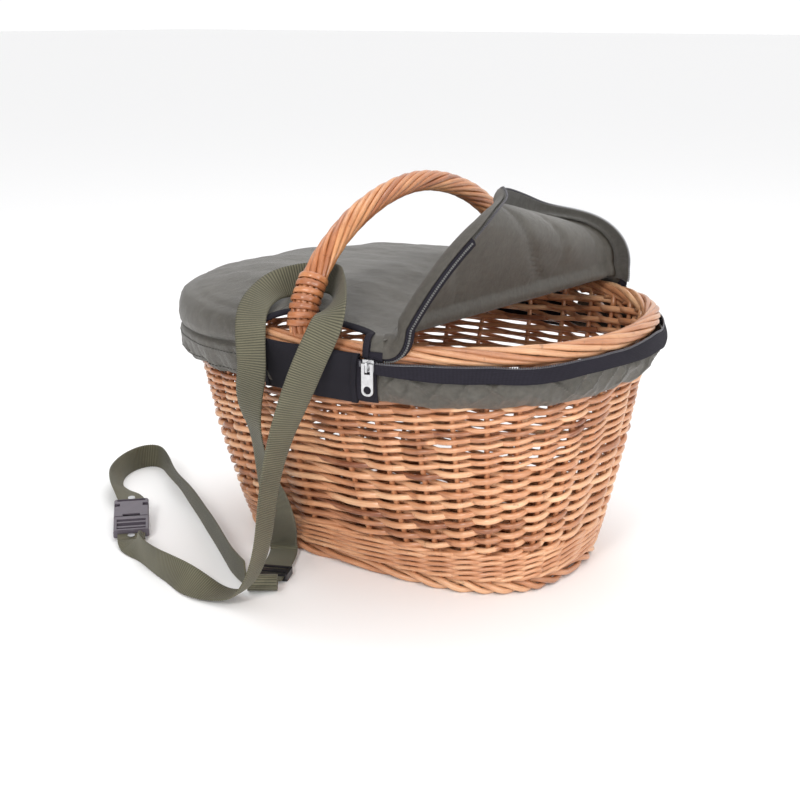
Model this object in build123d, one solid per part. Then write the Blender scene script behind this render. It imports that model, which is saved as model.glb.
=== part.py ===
from build123d import *
import math
import os

# ---------------------------------------------------------------- driving dimensions (mm)
RIM_A, RIM_B, RIM_N, RIM_Z = 207.0, 170.0, 2.283, 218.0      # centre line of the top border
BASE_A, BASE_B, BASE_N = 161.5, 99.0, 2.98                   # outside of the wall at the floor
BULGE = 0.068                                                # how far the wall bellies out
OFF_X, OFF_Y = 2.4, 1.2                                      # the foot sits this far off the rim's centre
WALL = 7.0                                                   # woven wall thickness
BORDER_R = 7.5                                               # rolled top border radius
FOOT_R = 6.5                                                 # foot border radius
STAKES, STAKE_D = 36, 4.5
HANDLE_X, HANDLE_B, HANDLE_H, HANDLE_N = 5.5, 163.0, 107.5, 1.84
HANDLE_LEAN, HANDLE_Y = -2.9, -2.6
HANDLE_R, CORE_R = 9.0, 4.5
SKIRT_LOW, SKIRT_TOP, SKIRT_T = 178.0, 213.0, 2.0            # fabric skirt, bottom, top, thickness
LID_Z, LID_T, DOME = 228.6, 2.4, 20.0                        # lid underside when closed, thickness, crown
FOLD1 = ((88.7, -169.4), (111.4, 161.6))                     # first fold line of the lid in plan
FOLD2 = ((176.0, -117.9), (121.7, 157.1))                    # second fold line
FOLD_Z, FOLD1_DEG, FOLD2_DEG = 229.8, 71.6, 77.4             # hinge height, fold angles at rest
LINE2 = 20.0                                                 # the flap ends this far past the second line
WEB_W, WEB_T = 25.0, 1.5                                     # webbing
PANEL = (-20.0, 71.0)                                        # webbing panel round a handle foot, x range
SLIDER_X = 80.0                                              # where the zip slider stands
BUCKLE_AT, BUCKLE_DIR, BUCKLE_TILT = (-222.0, -148.0, 9.9), (0.724, -0.690), 7.0
ADJ_AT, ADJ_DIR = (-40.8, -154.8), (0.41, -0.91)             # strap adjuster

os.makedirs("parts", exist_ok=True)
made = {}


def save(name, shape):
    made[name] = shape
    export_step(shape, "parts/" + name + ".step")


def group(solids):
    return Compound(children=list(solids))


def sgn(v):
    return -1.0 if v < 0 else 1.0


def ring_points(a, b, n, z, cx=0.0, cy=0.0, count=48):
    out = []
    for i in range(count):
        t = 2 * math.pi * (i + 0.5) / count
        c, s = math.cos(t), math.sin(t)
        out.append(Vector(cx + a * sgn(c) * abs(c) ** (2 / n), cy + b * sgn(s) * abs(s) ** (2 / n), z))
    return out


def wall_at(z):
    """half axes, exponent and centre of the wall's outside at height z"""
    s = max(0.0, z / RIM_Z)
    k = s + BULGE * 4 * s * (1 - s)
    return (BASE_A + (RIM_A - BASE_A) * k, BASE_B + (RIM_B - BASE_B) * k,
            BASE_N + (RIM_N - BASE_N) * s, OFF_X * (1 - s), OFF_Y * (1 - s))


def wall_ring(z, off, zz=None):
    a, b, n, cx, cy = wall_at(z)
    return ring_points(a + off, b + off, n, z if zz is None else zz, cx, cy)


def rim_ring(off, z):
    return ring_points(RIM_A + off, RIM_B + off, RIM_N, z)


def loft_rings(rings):
    wires = [Wire([Edge.make_spline(r, periodic=True)]) for r in rings]
    return Solid.make_loft(wires)


def shell(outer, inner):
    return loft_rings(outer) - loft_rings(inner)


def one(shape):
    s = shape.solids()
    if len(s) != 1:
        raise ValueError("expected one solid, got %d" % len(s))
    return s[0]


def poly_solid(verts, faces):
    """closed solid from flat faces, listed by vertex number"""
    six = 0.0
    for f in faces:
        for i in range(1, len(f) - 1):
            six += verts[f[0]].dot(verts[f[i]].cross(verts[f[i + 1]]))
    if six < 0:
        faces = [f[::-1] for f in faces]
    s = Solid(Shell([Face(Wire.make_polygon([verts[i] for i in f], close=True)) for f in faces]))
    return s if s.volume > 0 else Solid(Shell([-f for f in s.faces()]))


def tube(path, radius, sides, frames, hole=0.0):
    """straight-faced tube along a list of points; frames gives two cross directions for each"""
    verts, faces = [], []
    rings = [radius] + ([hole] if hole else [])
    for r in rings:
        for p, (u, v) in zip(path, frames):
            for k in range(sides):
                t = 2 * math.pi * k / sides
                verts.append(p + u * (r * math.cos(t)) + v * (r * math.sin(t)))
    n, m = len(path), len(path) * sides
    for q, base in enumerate([0, m][:len(rings)]):
        for i in range(n - 1):
            for k in range(sides):
                a = base + i * sides + k
                b = base + i * sides + (k + 1) % sides
                c, d = b + sides, a + sides
                faces += [[a, b, c], [a, c, d]]
    for i in (0, n - 1):
        if hole:
            for k in range(sides):
                a, b = i * sides + k, i * sides + (k + 1) % sides
                faces += [[a, b, m + b], [a, m + b, m + a]]
        else:
            faces.append([i * sides + k for k in range(sides)])
    return poly_solid(verts, faces)


def half_space(p, n, size=900.0):
    """big box on the side of the upright plane through p that n points to"""
    d = Vector(n[0], n[1], 0).normalized()
    o = Vector(p[0], p[1], 0) + d * (size / 2)
    return Plane(origin=(o.X, o.Y, 0), x_dir=(d.X, d.Y, 0), z_dir=(0, 0, 1)).location * Box(size, size, size)


def fold(line):
    (x0, y0), (x1, y1) = line
    d = Vector(x1 - x0, y1 - y0, 0).normalized()
    return Vector(x0, y0, FOLD_Z), d, Vector(d.Y, -d.X, 0)


F1, D1, N1 = fold(FOLD1)
F2, D2, N2 = fold(FOLD2)
AX1, AX2 = Axis(F1, D1), Axis(F2, D2)


def turn1(s):
    return s.rotate(AX1, -FOLD1_DEG)


def turn2(s):
    return turn1(s.rotate(AX2, -FOLD2_DEG))


# ---------------------------------------------------------------- base
save("base_weave", one(loft_rings([wall_ring(4, -FOOT_R - 3.9, 3.5), wall_ring(4, -FOOT_R - 3.9, 8.5)])))


def chord(v, along_x):
    """half length of a floor stick at offset v from the middle line"""
    a, b = BASE_A - FOOT_R - 4, BASE_B - FOOT_R - 4
    if along_x:
        return a * (1 - min(1, abs(v) / b) ** BASE_N) ** (1 / BASE_N)
    return b * (1 - min(1, abs(v) / a) ** BASE_N) ** (1 / BASE_N)


sticks = []
for y in (-56, -28, 0, 28, 56):
    L = chord(y, True) - 6
    sticks.append(Solid.make_cylinder(2.4, 2 * L, Plane(origin=(OFF_X - L, OFF_Y + y, 11.1), z_dir=(1, 0, 0))))
save("base_sticks_long", group(sticks))
sticks = []
for x in (-114, -76, -38, 0, 38, 76, 114):
    L = chord(x, False) - 6
    sticks.append(Solid.make_cylinder(2.4, 2 * L, Plane(origin=(OFF_X + x, OFF_Y - L, 16.1), z_dir=(0, 1, 0))))
save("base_sticks_cross", group(sticks))

# foot border: a thick ring with a flat underside, it carries the basket
prof = [(0.0, 3.8), (1.6, 5.8), (4.5, FOOT_R), (8.0, FOOT_R), (11.0, 4.6), (12.6, 2.6)]
save("foot_border", one(shell([wall_ring(4, -3.4 + w, z) for z, w in prof],
                              [wall_ring(4, -3.4 - w, z) for z, w in prof])))

# ---------------------------------------------------------------- woven wall, three bands
def band(z0, z1):
    zs = [z0 + (z1 - z0) * i / 4 for i in range(5)]
    return one(shell([wall_ring(z, 0) for z in zs], [wall_ring(z, -WALL) for z in zs]))


save("side_wale_lower", band(12.8, 40))
save("side_weave", band(40.2, 150))
save("side_weave_upper", band(150.2, 209.4))

stakes = []
for i in range(STAKES):
    t = 2 * math.pi * (i + 0.5) / STAKES
    pts = []
    for z in (14.0, 205.0):
        a, b, n, cx, cy = wall_at(z)
        off = -WALL - STAKE_D / 2 - 0.9
        c, s = math.cos(t), math.sin(t)
        pts.append(Vector(cx + (a + off) * sgn(c) * abs(c) ** (2 / n), cy + (b + off) * sgn(s) * abs(s) ** (2 / n), z))
    d = pts[1] - pts[0]
    stakes.append(Solid.make_cylinder(STAKE_D / 2, d.length, Plane(origin=pts[0], z_dir=d)))
save("stakes", group(stakes))

# rolled top border
prof = [(-BORDER_R * math.cos(math.radians(q)), BORDER_R * math.sin(math.radians(q))) for q in (14, 45, 90, 135, 166)]
save("rim_border", one(shell([rim_ring(w, RIM_Z + h) for h, w in prof], [rim_ring(-w, RIM_Z + h) for h, w in prof])))

# ---------------------------------------------------------------- handle
def handle_point(t):
    c, s = math.cos(t), math.sin(t)
    q = abs(s) ** (2 / HANDLE_N)
    return Vector(HANDLE_X + HANDLE_LEAN * q, HANDLE_Y - HANDLE_B * sgn(c) * abs(c) ** (2 / HANDLE_N),
                  RIM_Z + HANDLE_H * q)


def even(points, count):
    d = [0.0]
    for p, q in zip(points, points[1:]):
        d.append(d[-1] + (q - p).length)
    out, j = [], 0
    for i in range(count):
        s = d[-1] * i / (count - 1)
        while j < len(d) - 2 and d[j + 1] < s:
            j += 1
        f = (s - d[j]) / (d[j + 1] - d[j])
        out.append(points[j] + (points[j + 1] - points[j]) * f)
    return out


arch = [handle_point(math.pi * i / 400) for i in range(401)]
arch = even(arch, 45)


def frames_of(path, side=Vector(1, 0, 0)):
    out = []
    for i, p in enumerate(path):
        d = (path[min(i + 1, len(path) - 1)] - path[max(i - 1, 0)]).normalized()
        u = (side - d * side.dot(d)).normalized()
        out.append((u, d.cross(u).normalized()))
    return out


FOOT_CLEAR = 1   # the first and last stretch of the arch stands on the border
path = arch[FOOT_CLEAR:-FOOT_CLEAR]
save("handle_bow", tube(path, CORE_R, 8, frames_of(path)))
save("handle_rods", tube(path[1:-1], HANDLE_R, 12, frames_of(path)[1:-1], CORE_R + 0.2))

for name, idx in (("handle_binding_front", 0), ("handle_binding_back", 1)):
    rings = []
    src = [handle_point(math.pi * i / 4000) for i in range(900)]
    if idx:
        src = [handle_point(math.pi - math.pi * i / 4000) for i in range(900)]
    d = 0.0
    want = [24.0 + 6.0 * k for k in range(7)]
    for p, q in zip(src, src[1:]):
        L = (q - p).length
        while want and d + L >= want[0]:
            dirn = (q - p).normalized()
            pl = Plane(origin=q, z_dir=dirn)
            rings.append(one(Solid.make_cylinder(11.4, 4.8, pl) - Solid.make_cylinder(9.5, 4.8, pl)))
            want.pop(0)
        d += L
    save(name, group(rings))

# ---------------------------------------------------------------- fabric skirt
def skirt_rings(off):
    out = []
    for i in range(6):
        f = i / 5
        z = SKIRT_LOW + (SKIRT_TOP - SKIRT_LOW) * f
        a, b, n, cx, cy = wall_at(SKIRT_LOW)
        w = 3.2 + off
        A0, B0 = a + w, b + w
        A1, B1 = RIM_A + BORDER_R + 1.6 + off, RIM_B + BORDER_R + 1.6 + off
        g = f ** 0.75
        out.append(ring_points(A0 + (A1 - A0) * g, B0 + (B1 - B0) * g, n + (RIM_N - n) * g, z, cx * (1 - g), cy * (1 - g)))
    return out


skirt = shell(skirt_rings(SKIRT_T), skirt_rings(0))
x0, x1 = PANEL
gap = 0.4
left = skirt & (Pos(x0 - gap - 450, 0, 200) * Box(900, 900, 400))
right = skirt & (Pos(x1 + gap + 450, 0, 200) * Box(900, 900, 400))
right = right - (half_space((F1.X - N1.X * 19, F1.Y - N1.Y * 19), (N1.X, N1.Y)) & (Pos(0, 0, 205 + 50) * Box(900, 900, 100)))
save("cover_skirt_left", one(left))
save("cover_skirt_right", one(right))

# elastic in the hem, one closed loop under the skirt and the panels
a, b, n, cx, cy = wall_at(SKIRT_LOW)
save("hem_elastic", one(shell([wall_ring(SKIRT_LOW + 1, 2.5), wall_ring(SKIRT_LOW + 7, 2.5)],
                              [wall_ring(SKIRT_LOW + 1, 1.3), wall_ring(SKIRT_LOW + 7, 1.3)])))

# black webbing panels round the two handle feet
def panel_rings(off):
    out = []
    for z, w in ((174.0, 4.2), (190.0, 8.5), (210.0, 11.2), (219.0, 11.2)):
        a, b, n, cx, cy = wall_at(min(z, RIM_Z))
        out.append(ring_points(a + w + off, b + w + off, n, z, cx, cy))
    return out


panels = shell(panel_rings(1.6), panel_rings(0))
mid = (x0 + x1) / 2
for name, sy in (("handle_panel_front", -1), ("handle_panel_back", 1)):
    save(name, one(panels & (Pos(mid, sy * 200, 200) * Box(x1 - x0, 300, 200))))

# ---------------------------------------------------------------- lid
LEVELS = (1.0, 0.93, 0.8, 0.62, 0.42, 0.2)


def crown(q):
    return DOME * (1 - q * q)


def dome_stack(low, grow):
    """stack of rings: a short upright edge, then the crown, then closed flat on top"""
    rings = [ring_points(RIM_A + grow, RIM_B + grow, RIM_N, low)]
    for q in LEVELS:
        rings.append(ring_points((RIM_A + grow) * q, (RIM_B + grow) * q, RIM_N, LID_Z + crown(q) + (LID_T if grow > 0 else 0.0)))
    wires = [Wire([Edge.make_spline(r, periodic=True)]) for r in rings]
    return Solid.make_loft(wires, ruled=True)


dome = dome_stack(LID_Z, 1.0) - dome_stack(LID_Z - 5, -1.4)
keep = half_space((F1.X - N1.X * 1.5, F1.Y - N1.Y * 1.5), (-N1.X, -N1.Y))
dome = dome & keep
for sy in (-1, 1):
    dome = dome - (Pos((x0 + x1) / 2, sy * 172, 235) * Box(x1 - x0 - 6, 68, 80))
save("lid_fixed", one(dome))


def plate(lo, hi, z0, z1, off):
    """flat piece of lid between two fold lines"""
    pts = ring_points(RIM_A + off, RIM_B + off, RIM_N, z0, count=72)
    base = Solid.extrude(Face(Wire.make_polygon(pts, close=True)), Vector(0, 0, z1 - z0))
    p, n_ = lo
    s = base & half_space((p.X, p.Y), (n_.X, n_.Y))
    if hi:
        p, n_ = hi
        s = s & half_space((p.X, p.Y), (-n_.X, -n_.Y))
    return one(s)


E1 = (F1 + N1 * 1.5, N1)
P2A, P2B = F2 + N2 * LINE2, F2 + N2 * (LINE2 + 1.0)
save("lid_flap", turn1(plate(E1, (P2A, N2), LID_Z, LID_Z + LID_T, 1.0)))
save("lid_end", turn2(plate((P2B, N2), None, LID_Z, LID_Z + LID_T, 1.0)))

# the zip's upper tape, a sloped strip along the lid's edge, and its coil
def strip(o0, z0, o1, z1, t):
    return shell([rim_ring(o0 + t, z0), rim_ring(o1 + t, z1)], [rim_ring(o0, z0), rim_ring(o1, z1)])


tape = strip(11.4, 218.8, 1.7, 231.0, 1.4)
coil = strip(11.6, 216.5, 11.6, 218.6, 2.0)
lo1, hi1 = half_space((E1[0].X, E1[0].Y), (N1.X, N1.Y)), half_space((P2A.X, P2A.Y), (-N2.X, -N2.Y))
lo2 = half_space((P2B.X, P2B.Y), (N2.X, N2.Y))


def two(shape):
    return group(shape.solids())


save("zip_tape_flap", turn1(two(tape & lo1 & hi1)))
save("zip_tape_end", turn2(two(tape & lo2)))
save("zip_coil_flap", turn1(two(coil & lo1 & hi1)))
save("zip_coil_end", turn2(two(coil & lo2)))

# the lid's sewn edge on the closed part, it wraps over the border down to the skirt
edge = strip(11.4, 213.4, 1.7, 231.0, 1.4) & half_space((F1.X - N1.X * 1.5, F1.Y - N1.Y * 1.5), (-N1.X, -N1.Y))
low_cut = half_space((F1.X - N1.X * 22, F1.Y - N1.Y * 22), (N1.X, N1.Y)) & (Pos(0, 0, 218.8 - 50) * Box(900, 900, 100))
edge = edge - low_cut
for sy in (-1, 1):
    edge = edge - (Pos((x0 + x1) / 2, sy * 200, 235) * Box(x1 - x0 + 0.8, 200, 80))
save("lid_border", group(edge.solids()))

# the zip's lower tape on the skirt, and its coil
right_side = half_space((x1 + 3.0, 0), (1, 0)) - (
    half_space((F1.X, F1.Y), (-N1.X, -N1.Y)) & (Pos(0, 300, 0) * Box(900, 600, 900)))
low_tape = shell([rim_ring(12.6, 200.0), rim_ring(13.4, 210.6)], [rim_ring(11.5, 200.0), rim_ring(12.3, 210.6)])
low_coil = shell([rim_ring(13.3, 210.8), rim_ring(13.3, 213.0)], [rim_ring(11.3, 210.8), rim_ring(11.3, 213.0)])
save("zip_tape_lower", one(low_tape & right_side))
save("zip_coil_lower", one(low_coil & right_side))

# ---------------------------------------------------------------- zip slider, puller and stop
def rim_at(x, off):
    y = -(RIM_B + off) * (1 - (x / (RIM_A + off)) ** RIM_N) ** (1 / RIM_N)
    return Vector(x, y, 0)


q0, q1, q2 = rim_at(76.0, 12.3), rim_at(106.0, 12.3), rim_at(136.0, 12.3)
ax_, ay_, bx_, by_, cx_, cy_ = q0.X, q0.Y, q1.X, q1.Y, q2.X, q2.Y
den = 2 * (ax_ * (by_ - cy_) + bx_ * (cy_ - ay_) + cx_ * (ay_ - by_))
ux = ((ax_ ** 2 + ay_ ** 2) * (by_ - cy_) + (bx_ ** 2 + by_ ** 2) * (cy_ - ay_) + (cx_ ** 2 + cy_ ** 2) * (ay_ - by_)) / den
uy = ((ax_ ** 2 + ay_ ** 2) * (cx_ - bx_) + (bx_ ** 2 + by_ ** 2) * (ax_ - cx_) + (cx_ ** 2 + cy_ ** 2) * (bx_ - ax_)) / den
ZIP_R = math.hypot(ax_ - ux, ay_ - uy)
print("zip arc centre", round(ux, 3), round(uy, 3), "radius", round(ZIP_R, 3))
p = rim_at(SLIDER_X, 12.3)
out = Vector(p.X - ux, p.Y - uy, 0).normalized()
base = Vector(ux, uy, 0) + out * ZIP_R
tan = Vector(-out.Y, out.X, 0)
if tan.X < 0:
    tan = tan * -1
# local frame of the slider: x along the zip, y outward, z up
SL = Plane(origin=(base.X, base.Y, 0), x_dir=(tan.X, tan.Y, 0), z_dir=(0, 0, 1))
YS = 1 if SL.y_dir.dot(out) > 0 else -1


def sbox(x_0, x_1, y_0, y_1, z_0, z_1):
    ya, yb = sorted((YS * y_0, YS * y_1))
    return Pos((x_0 + x_1) / 2, (ya + yb) / 2, (z_0 + z_1) / 2) * Box(x_1 - x_0, yb - ya, z_1 - z_0)


front = sbox(-4.6, 4.6, 2.1, 3.3, 206.6, 215.8)
back_ = sbox(-4.2, 4.2, -2.9, -1.9, 207.2, 215.8)
bridge = sbox(-2.4, 2.4, -2.9, 3.3, 214.4, 215.8)
bail = sbox(-0.8, 0.8, 3.1, 7.1, 206.8, 214.6) - sbox(-2, 2, 3.3, 5.9, 208.0, 213.5)
slider = front + back_ + bridge + bail
try:
    slider = fillet(slider.edges().filter_by(Axis.Z).group_by(SortBy.LENGTH)[-1], 0.3)
except Exception:
    pass
save("zip_slider", one(SL.location * slider))
PIN = (4.6, 212.4)          # the puller's top bar: outward, up
blade = sbox(-4.8, 4.8, 4.1, 5.1, PIN[1] - 24.5, PIN[1] + 0.65)
blade = blade - sbox(-2.3, 2.3, 3, 6, PIN[1] - 7.6, PIN[1] - 0.65)
blade = blade - (Pos(0, YS * 4.6, PIN[1] - 19.8) * Rot(90, 0, 0) * Cylinder(3.1, 4))
try:
    blade = fillet(blade.edges().filter_by(Axis.Y).group_by(Axis.Z)[0], 4.0)
except Exception:
    pass
save("zip_puller", one(SL.location * blade))
pw = SL.location * Pos(0, YS * PIN[0], PIN[1])
print("puller pivot", [round(v, 3) for v in tuple(pw.position)], "along", round(tan.X, 5), round(tan.Y, 5))
pst = rim_at(73.3, 12.3)
o2 = Vector(pst.X - ux, pst.Y - uy, 0).normalized()
save("zip_stop", Plane(origin=(pst.X + o2.X * 1.7, pst.Y + o2.Y * 1.7, 211.9), x_dir=(o2.Y * -1, o2.X, 0), z_dir=(0, 0, 1)).location * Box(1.8, 1.2, 4.4))

# black binding round the two notches in the lid
for name, sy in (("notch_binding_front", -1), ("notch_binding_back", 1)):
    nx0, nx1, ny = x0 + 3.4, x1 - 3.4, 138.4
    rail = Pos((nx0 + nx1) / 2, sy * (ny + 1.0), 234) * Box(nx1 - nx0, 2.0, 9.0)
    for xx in (nx0 + 1.0, nx1 - 1.0):
        rail = rail + Pos(xx, sy * (ny + 14.0), 234) * Box(2.0, 28.0, 9.0)
    save(name, one(rail))

# ---------------------------------------------------------------- shoulder strap
MAIN = [((-184, -183.4, 6.3), (-.62, -.68, -.25)), ((-178, -188, 8), (-.5, -.5, -.7)), ((-158, -199, 12.8), (0, 0, -1)),
        ((-130, -210, 12.8), (0, 0, -1)), ((-98, -217, 12.8), (0, -.25, -.96)), ((-70, -219.5, 9), (0, -.8, -.5)),
        ((-46, -216, 4), (.1, -.99, 0)), ((-26, -212, 8), (.1, -.99, 0)), ((-12, -209, 28), (.1, -.99, 0)),
        ((-4, -206, 60), (.1, -.99, 0)), ((-2, -201, 100), (.03, -.99, 0)), ((6, -196, 140), (-.2, -.97, 0)),
        ((20, -193, 175), (-.6, -.8, 0)), ((34, -191, 208), (-.86, -.5, 0)), ((46, -187, 234), (-.84, -.53, -.1)),
        ((45, -171, 252), (-.6, -.5, -.6)), ((28, -144, 258), (-.3, -.2, -.93)), ((8, -122, 260), (0, -.4, -.9)),
        ((-14, -120, 259), (.1, -.3, -.93)), ((-31, -133, 256), (.4, .1, -.85)), ((-39, -150, 252), (.8, .4, -.45)),
        ((-36, -176, 241), (.88, .44, -.1)), ((-23, -192.8, 219), (.93, .36, 0)), ((-21, -193.8, 195), (.93, .3, 0)),
        ((-30, -190, 168), (.9, .1, 0)), ((-27, -185, 138), (.85, -.5, 0)), ((-29, -172, 104), (.9, -.2, 0)),
        ((-38, -151, 66), (.85, .4, 0)), ((-52, -127, 34), (.84, .54, 0)), ((-65, -113, 12), (.84, .54, 0)),
        ((-65.5, -110.5, 4.5), (.87, .49, 0)), ((-61, -117, 3.6), (.9, .43, 0)), ((-52, -132, 3.5), (.91, .41, 0)),
        ((-43, -150, 3.5), (.91, .41, 0)), ((-34.5, -169, 3.5), (.91, .41, 0))]
TAIL = [((-43, -186, 12.8), (0, .1, -1)), ((-66, -176, 12.8), (0, 0, -1)), ((-98, -154, 12.8), (0, 0, -1)),
        ((-134, -129, 12.8), (0, 0, -1)), ((-172, -105, 12.8), (0, .05, -1)), ((-212, -80, 12.8), (0, .1, -1)),
        ((-254, -54, 12.8), (.1, .3, -1)), ((-292, -30, 12.8), (0, 0, -1)), ((-322, -12, 12.8), (0, 0, -1)),
        ((-337, -22, 12.8), (0, 0, -1)), ((-334, -52, 12.8), (0, 0, -1)), ((-314, -84, 12.8), (.3, .3, -.9)),
        ((-288, -102, 13), (.55, .6, -.6)), ((-265, -112, 12.5), (.67, .71, -.15)), ((-249.5, -121.7, 12.0), (.69, .724, 0))]


def bspline(values, t, n):
    """point t (0..1) of a clamped uniform second-degree B-spline"""
    m = n - 2
    u = min(t * m, m - 1e-9)
    knots = [0, 0] + list(range(m + 1)) + [m, m]
    k = int(u) + 2
    out = [0.0] * len(values[0])
    for i in range(k - 2, k + 1):
        w = basis(i, 2, u, knots)
        for c in range(len(out)):
            out[c] += w * values[i][c]
    return out


def basis(i, d, u, kn):
    if d == 0:
        return 1.0 if kn[i] <= u < kn[i + 1] else 0.0
    a = kn[i + d] - kn[i]
    b = kn[i + d + 1] - kn[i + 1]
    r = 0.0
    if a > 0:
        r += (u - kn[i]) / a * basis(i, d - 1, u, kn)
    if b > 0:
        r += (kn[i + d + 1] - u) / b * basis(i + 1, d - 1, u, kn)
    return r


def ribbon(route, step=9.0):
    n = len(route)
    dense = [Vector(*bspline([r[0] for r in route], i / 900, n)) for i in range(901)]
    length = sum((q - p).length for p, q in zip(dense, dense[1:]))
    count = max(12, int(length / step))
    acc, marks, j = [0.0], [], 0
    for p, q in zip(dense, dense[1:]):
        acc.append(acc[-1] + (q - p).length)
    for i in range(count + 1):
        s_ = length * i / count
        while j < 899 and acc[j + 1] < s_:
            j += 1
        marks.append((j + (s_ - acc[j]) / (acc[j + 1] - acc[j])) / 900)
    verts, faces = [], []
    for t in marks:
        p = Vector(*bspline([r[0] for r in route], t, n))
        d = (Vector(*bspline([r[0] for r in route], min(1, t + 1e-3), n)) - Vector(*bspline([r[0] for r in route], max(0, t - 1e-3), n))).normalized()
        w = Vector(*bspline([r[1] for r in route], t, n))
        w = (w - d * w.dot(d)).normalized()
        h = d.cross(w).normalized()
        p = Vector(p.X, p.Y, max(p.Z, WEB_W / 2 * abs(w.Z) + WEB_T / 2 * abs(h.Z) + 0.15))
        for a_, b_ in ((-1, -1), (1, -1), (1, 1), (-1, 1)):
            verts.append(p + w * (a_ * WEB_W / 2) + h * (b_ * WEB_T / 2))
    low = min(v.Z for v in verts)
    for i in range(len(marks) - 1):
        for k in range(4):
            a_, b_ = 4 * i + k, 4 * i + (k + 1) % 4
            if k == 2:
                faces += [[a_, b_, a_ + 4], [b_, b_ + 4, a_ + 4]]
            else:
                faces += [[a_, b_, b_ + 4], [a_, b_ + 4, a_ + 4]]
    faces += [[3, 2, 1, 0], [4 * (len(marks) - 1) + k for k in range(4)]]
    return poly_solid(verts, faces), length, low


for name, route in (("strap_main", MAIN), ("strap_tail", TAIL)):
    s_, L, low = ribbon(route)
    print(name, "length", round(L, 1), "volume/expected", round(s_.volume / (L * WEB_W * WEB_T), 4), "lowest", round(low, 2))
    save(name, s_)

# rolled end of the strap beside the adjuster
rd = Vector(.80, .60, 0).normalized()
ro = Vector(-28.0, -182.0, 7.4)
pl = Plane(origin=ro - rd * 12.5, z_dir=rd)
save("strap_roll", one(Solid.make_cylinder(7.0, 25.0, pl) - Solid.make_cylinder(4.6, 25.0, pl)))

# tri-glide adjuster: a flat sleeve with two windows in its top
ad = Vector(ADJ_DIR[0], ADJ_DIR[1], 0).normalized()
apl = Plane(origin=(ADJ_AT[0], ADJ_AT[1], 3.5), x_dir=(ad.X, ad.Y, 0), z_dir=(0, 0, 1))
adj = Box(18, 31, 6.2)
adj = fillet(adj.edges().filter_by(Axis.Z), 1.6)
adj = adj - Box(20, 26.4, 3.3)
for xx in (-4.6, 4.6):
    adj = adj - Pos(xx, 0, 3) * Box(4.6, 25.5, 4)
save("strap_adjuster", one(apl.location * adj))

# ---------------------------------------------------------------- side-release buckle
bd = Vector(BUCKLE_DIR[0], BUCKLE_DIR[1], -math.tan(math.radians(BUCKLE_TILT))).normalized()
flat = Vector(BUCKLE_DIR[0], BUCKLE_DIR[1], 0).normalized()
bn = Vector(flat.X * math.sin(math.radians(BUCKLE_TILT)), flat.Y * math.sin(math.radians(BUCKLE_TILT)), math.cos(math.radians(BUCKLE_TILT)))
BK = Plane(origin=BUCKLE_AT, x_dir=(bd.X, bd.Y, bd.Z), z_dir=(bn.X, bn.Y, bn.Z))
print("buckle slide", round(bd.X, 5), round(bd.Y, 5), round(bd.Z, 5), "at", BUCKLE_AT)


def bbox_(a0, a1, b0, b1, c0, c1):
    return Pos((a0 + a1) / 2, (b0 + b1) / 2, (c0 + c1) / 2) * Box(a1 - a0, b1 - b0, c1 - c0)


fem = bbox_(-31, 4.5, -16.2, 16.2, -4.6, 4.6)
fem = fillet(fem.edges().filter_by(Axis.X), 2.2)
fem = fillet(fem.edges().filter_by(Axis.Z).group_by(Axis.X)[0], 3.0) if fem.edges().filter_by(Axis.Z) else fem
fem = fem - bbox_(-22, 6, -13.6, 13.6, -3.0, 3.0)
fem = fem - bbox_(-28.6, -24.6, -13.2, 13.2, -6, 6)
for sy in (-1, 1):
    fem = fem - bbox_(-19.5, -9.0, sy * 15 - 3, sy * 15 + 3, -3.0, 3.0)
    fem = fem - bbox_(-20.5, -14.5, sy * 13 - 2.4, sy * 13 + 2.4, 0, 6)
fem = fem - bbox_(0.8, 6, -8, 8, 2, 6)
save("buckle_female", one(BK.location * fem))
male = bbox_(5.0, 31, -16.2, 16.2, -4.2, 4.2)
male = fillet(male.edges().filter_by(Axis.X), 2.0)
male = male - bbox_(10.5, 29.0, -13.2, 13.2, -6, 6)
male = male + bbox_(13.4, 16.2, -14, 14, -3.4, 3.4) + bbox_(20.6, 23.4, -14, 14, -3.4, 2.6)
for sy in (-1, 1):
    male = male + bbox_(-19.0, 6, sy * 11.4 - 1.5, sy * 11.4 + 1.5, -2.4, 2.4)
    male = male + bbox_(-19.0, -9.5, sy * 12.2 - 1.2, sy * 12.2 + 1.2, -2.6, 2.6)
male = male + bbox_(-13, 6, -2.2, 2.2, -1.6, 1.6)
save("buckle_male", one(BK.location * male))
# rivets through the webbing next to the buckle
save("buckle_rivet_female", one(BK.location * (Pos(-36.5, 0, 1.6) * Cylinder(3.4, 1.0))))
stub = bbox_(31.2, 41.0, -12.5, 12.5, -1.2, 0.3)
save("strap_end_male", one(BK.location * stub))
save("buckle_rivet_male", one(BK.location * (Pos(36.0, 0, 0.9) * Cylinder(3.4, 1.0))))

for k, s in made.items():
    print(k, len(s.solids()), round(s.volume), s.is_valid if not callable(s.is_valid) else s.is_valid())
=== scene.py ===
import math

import bpy
import numpy as np
from mathutils import Matrix, Vector


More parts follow.
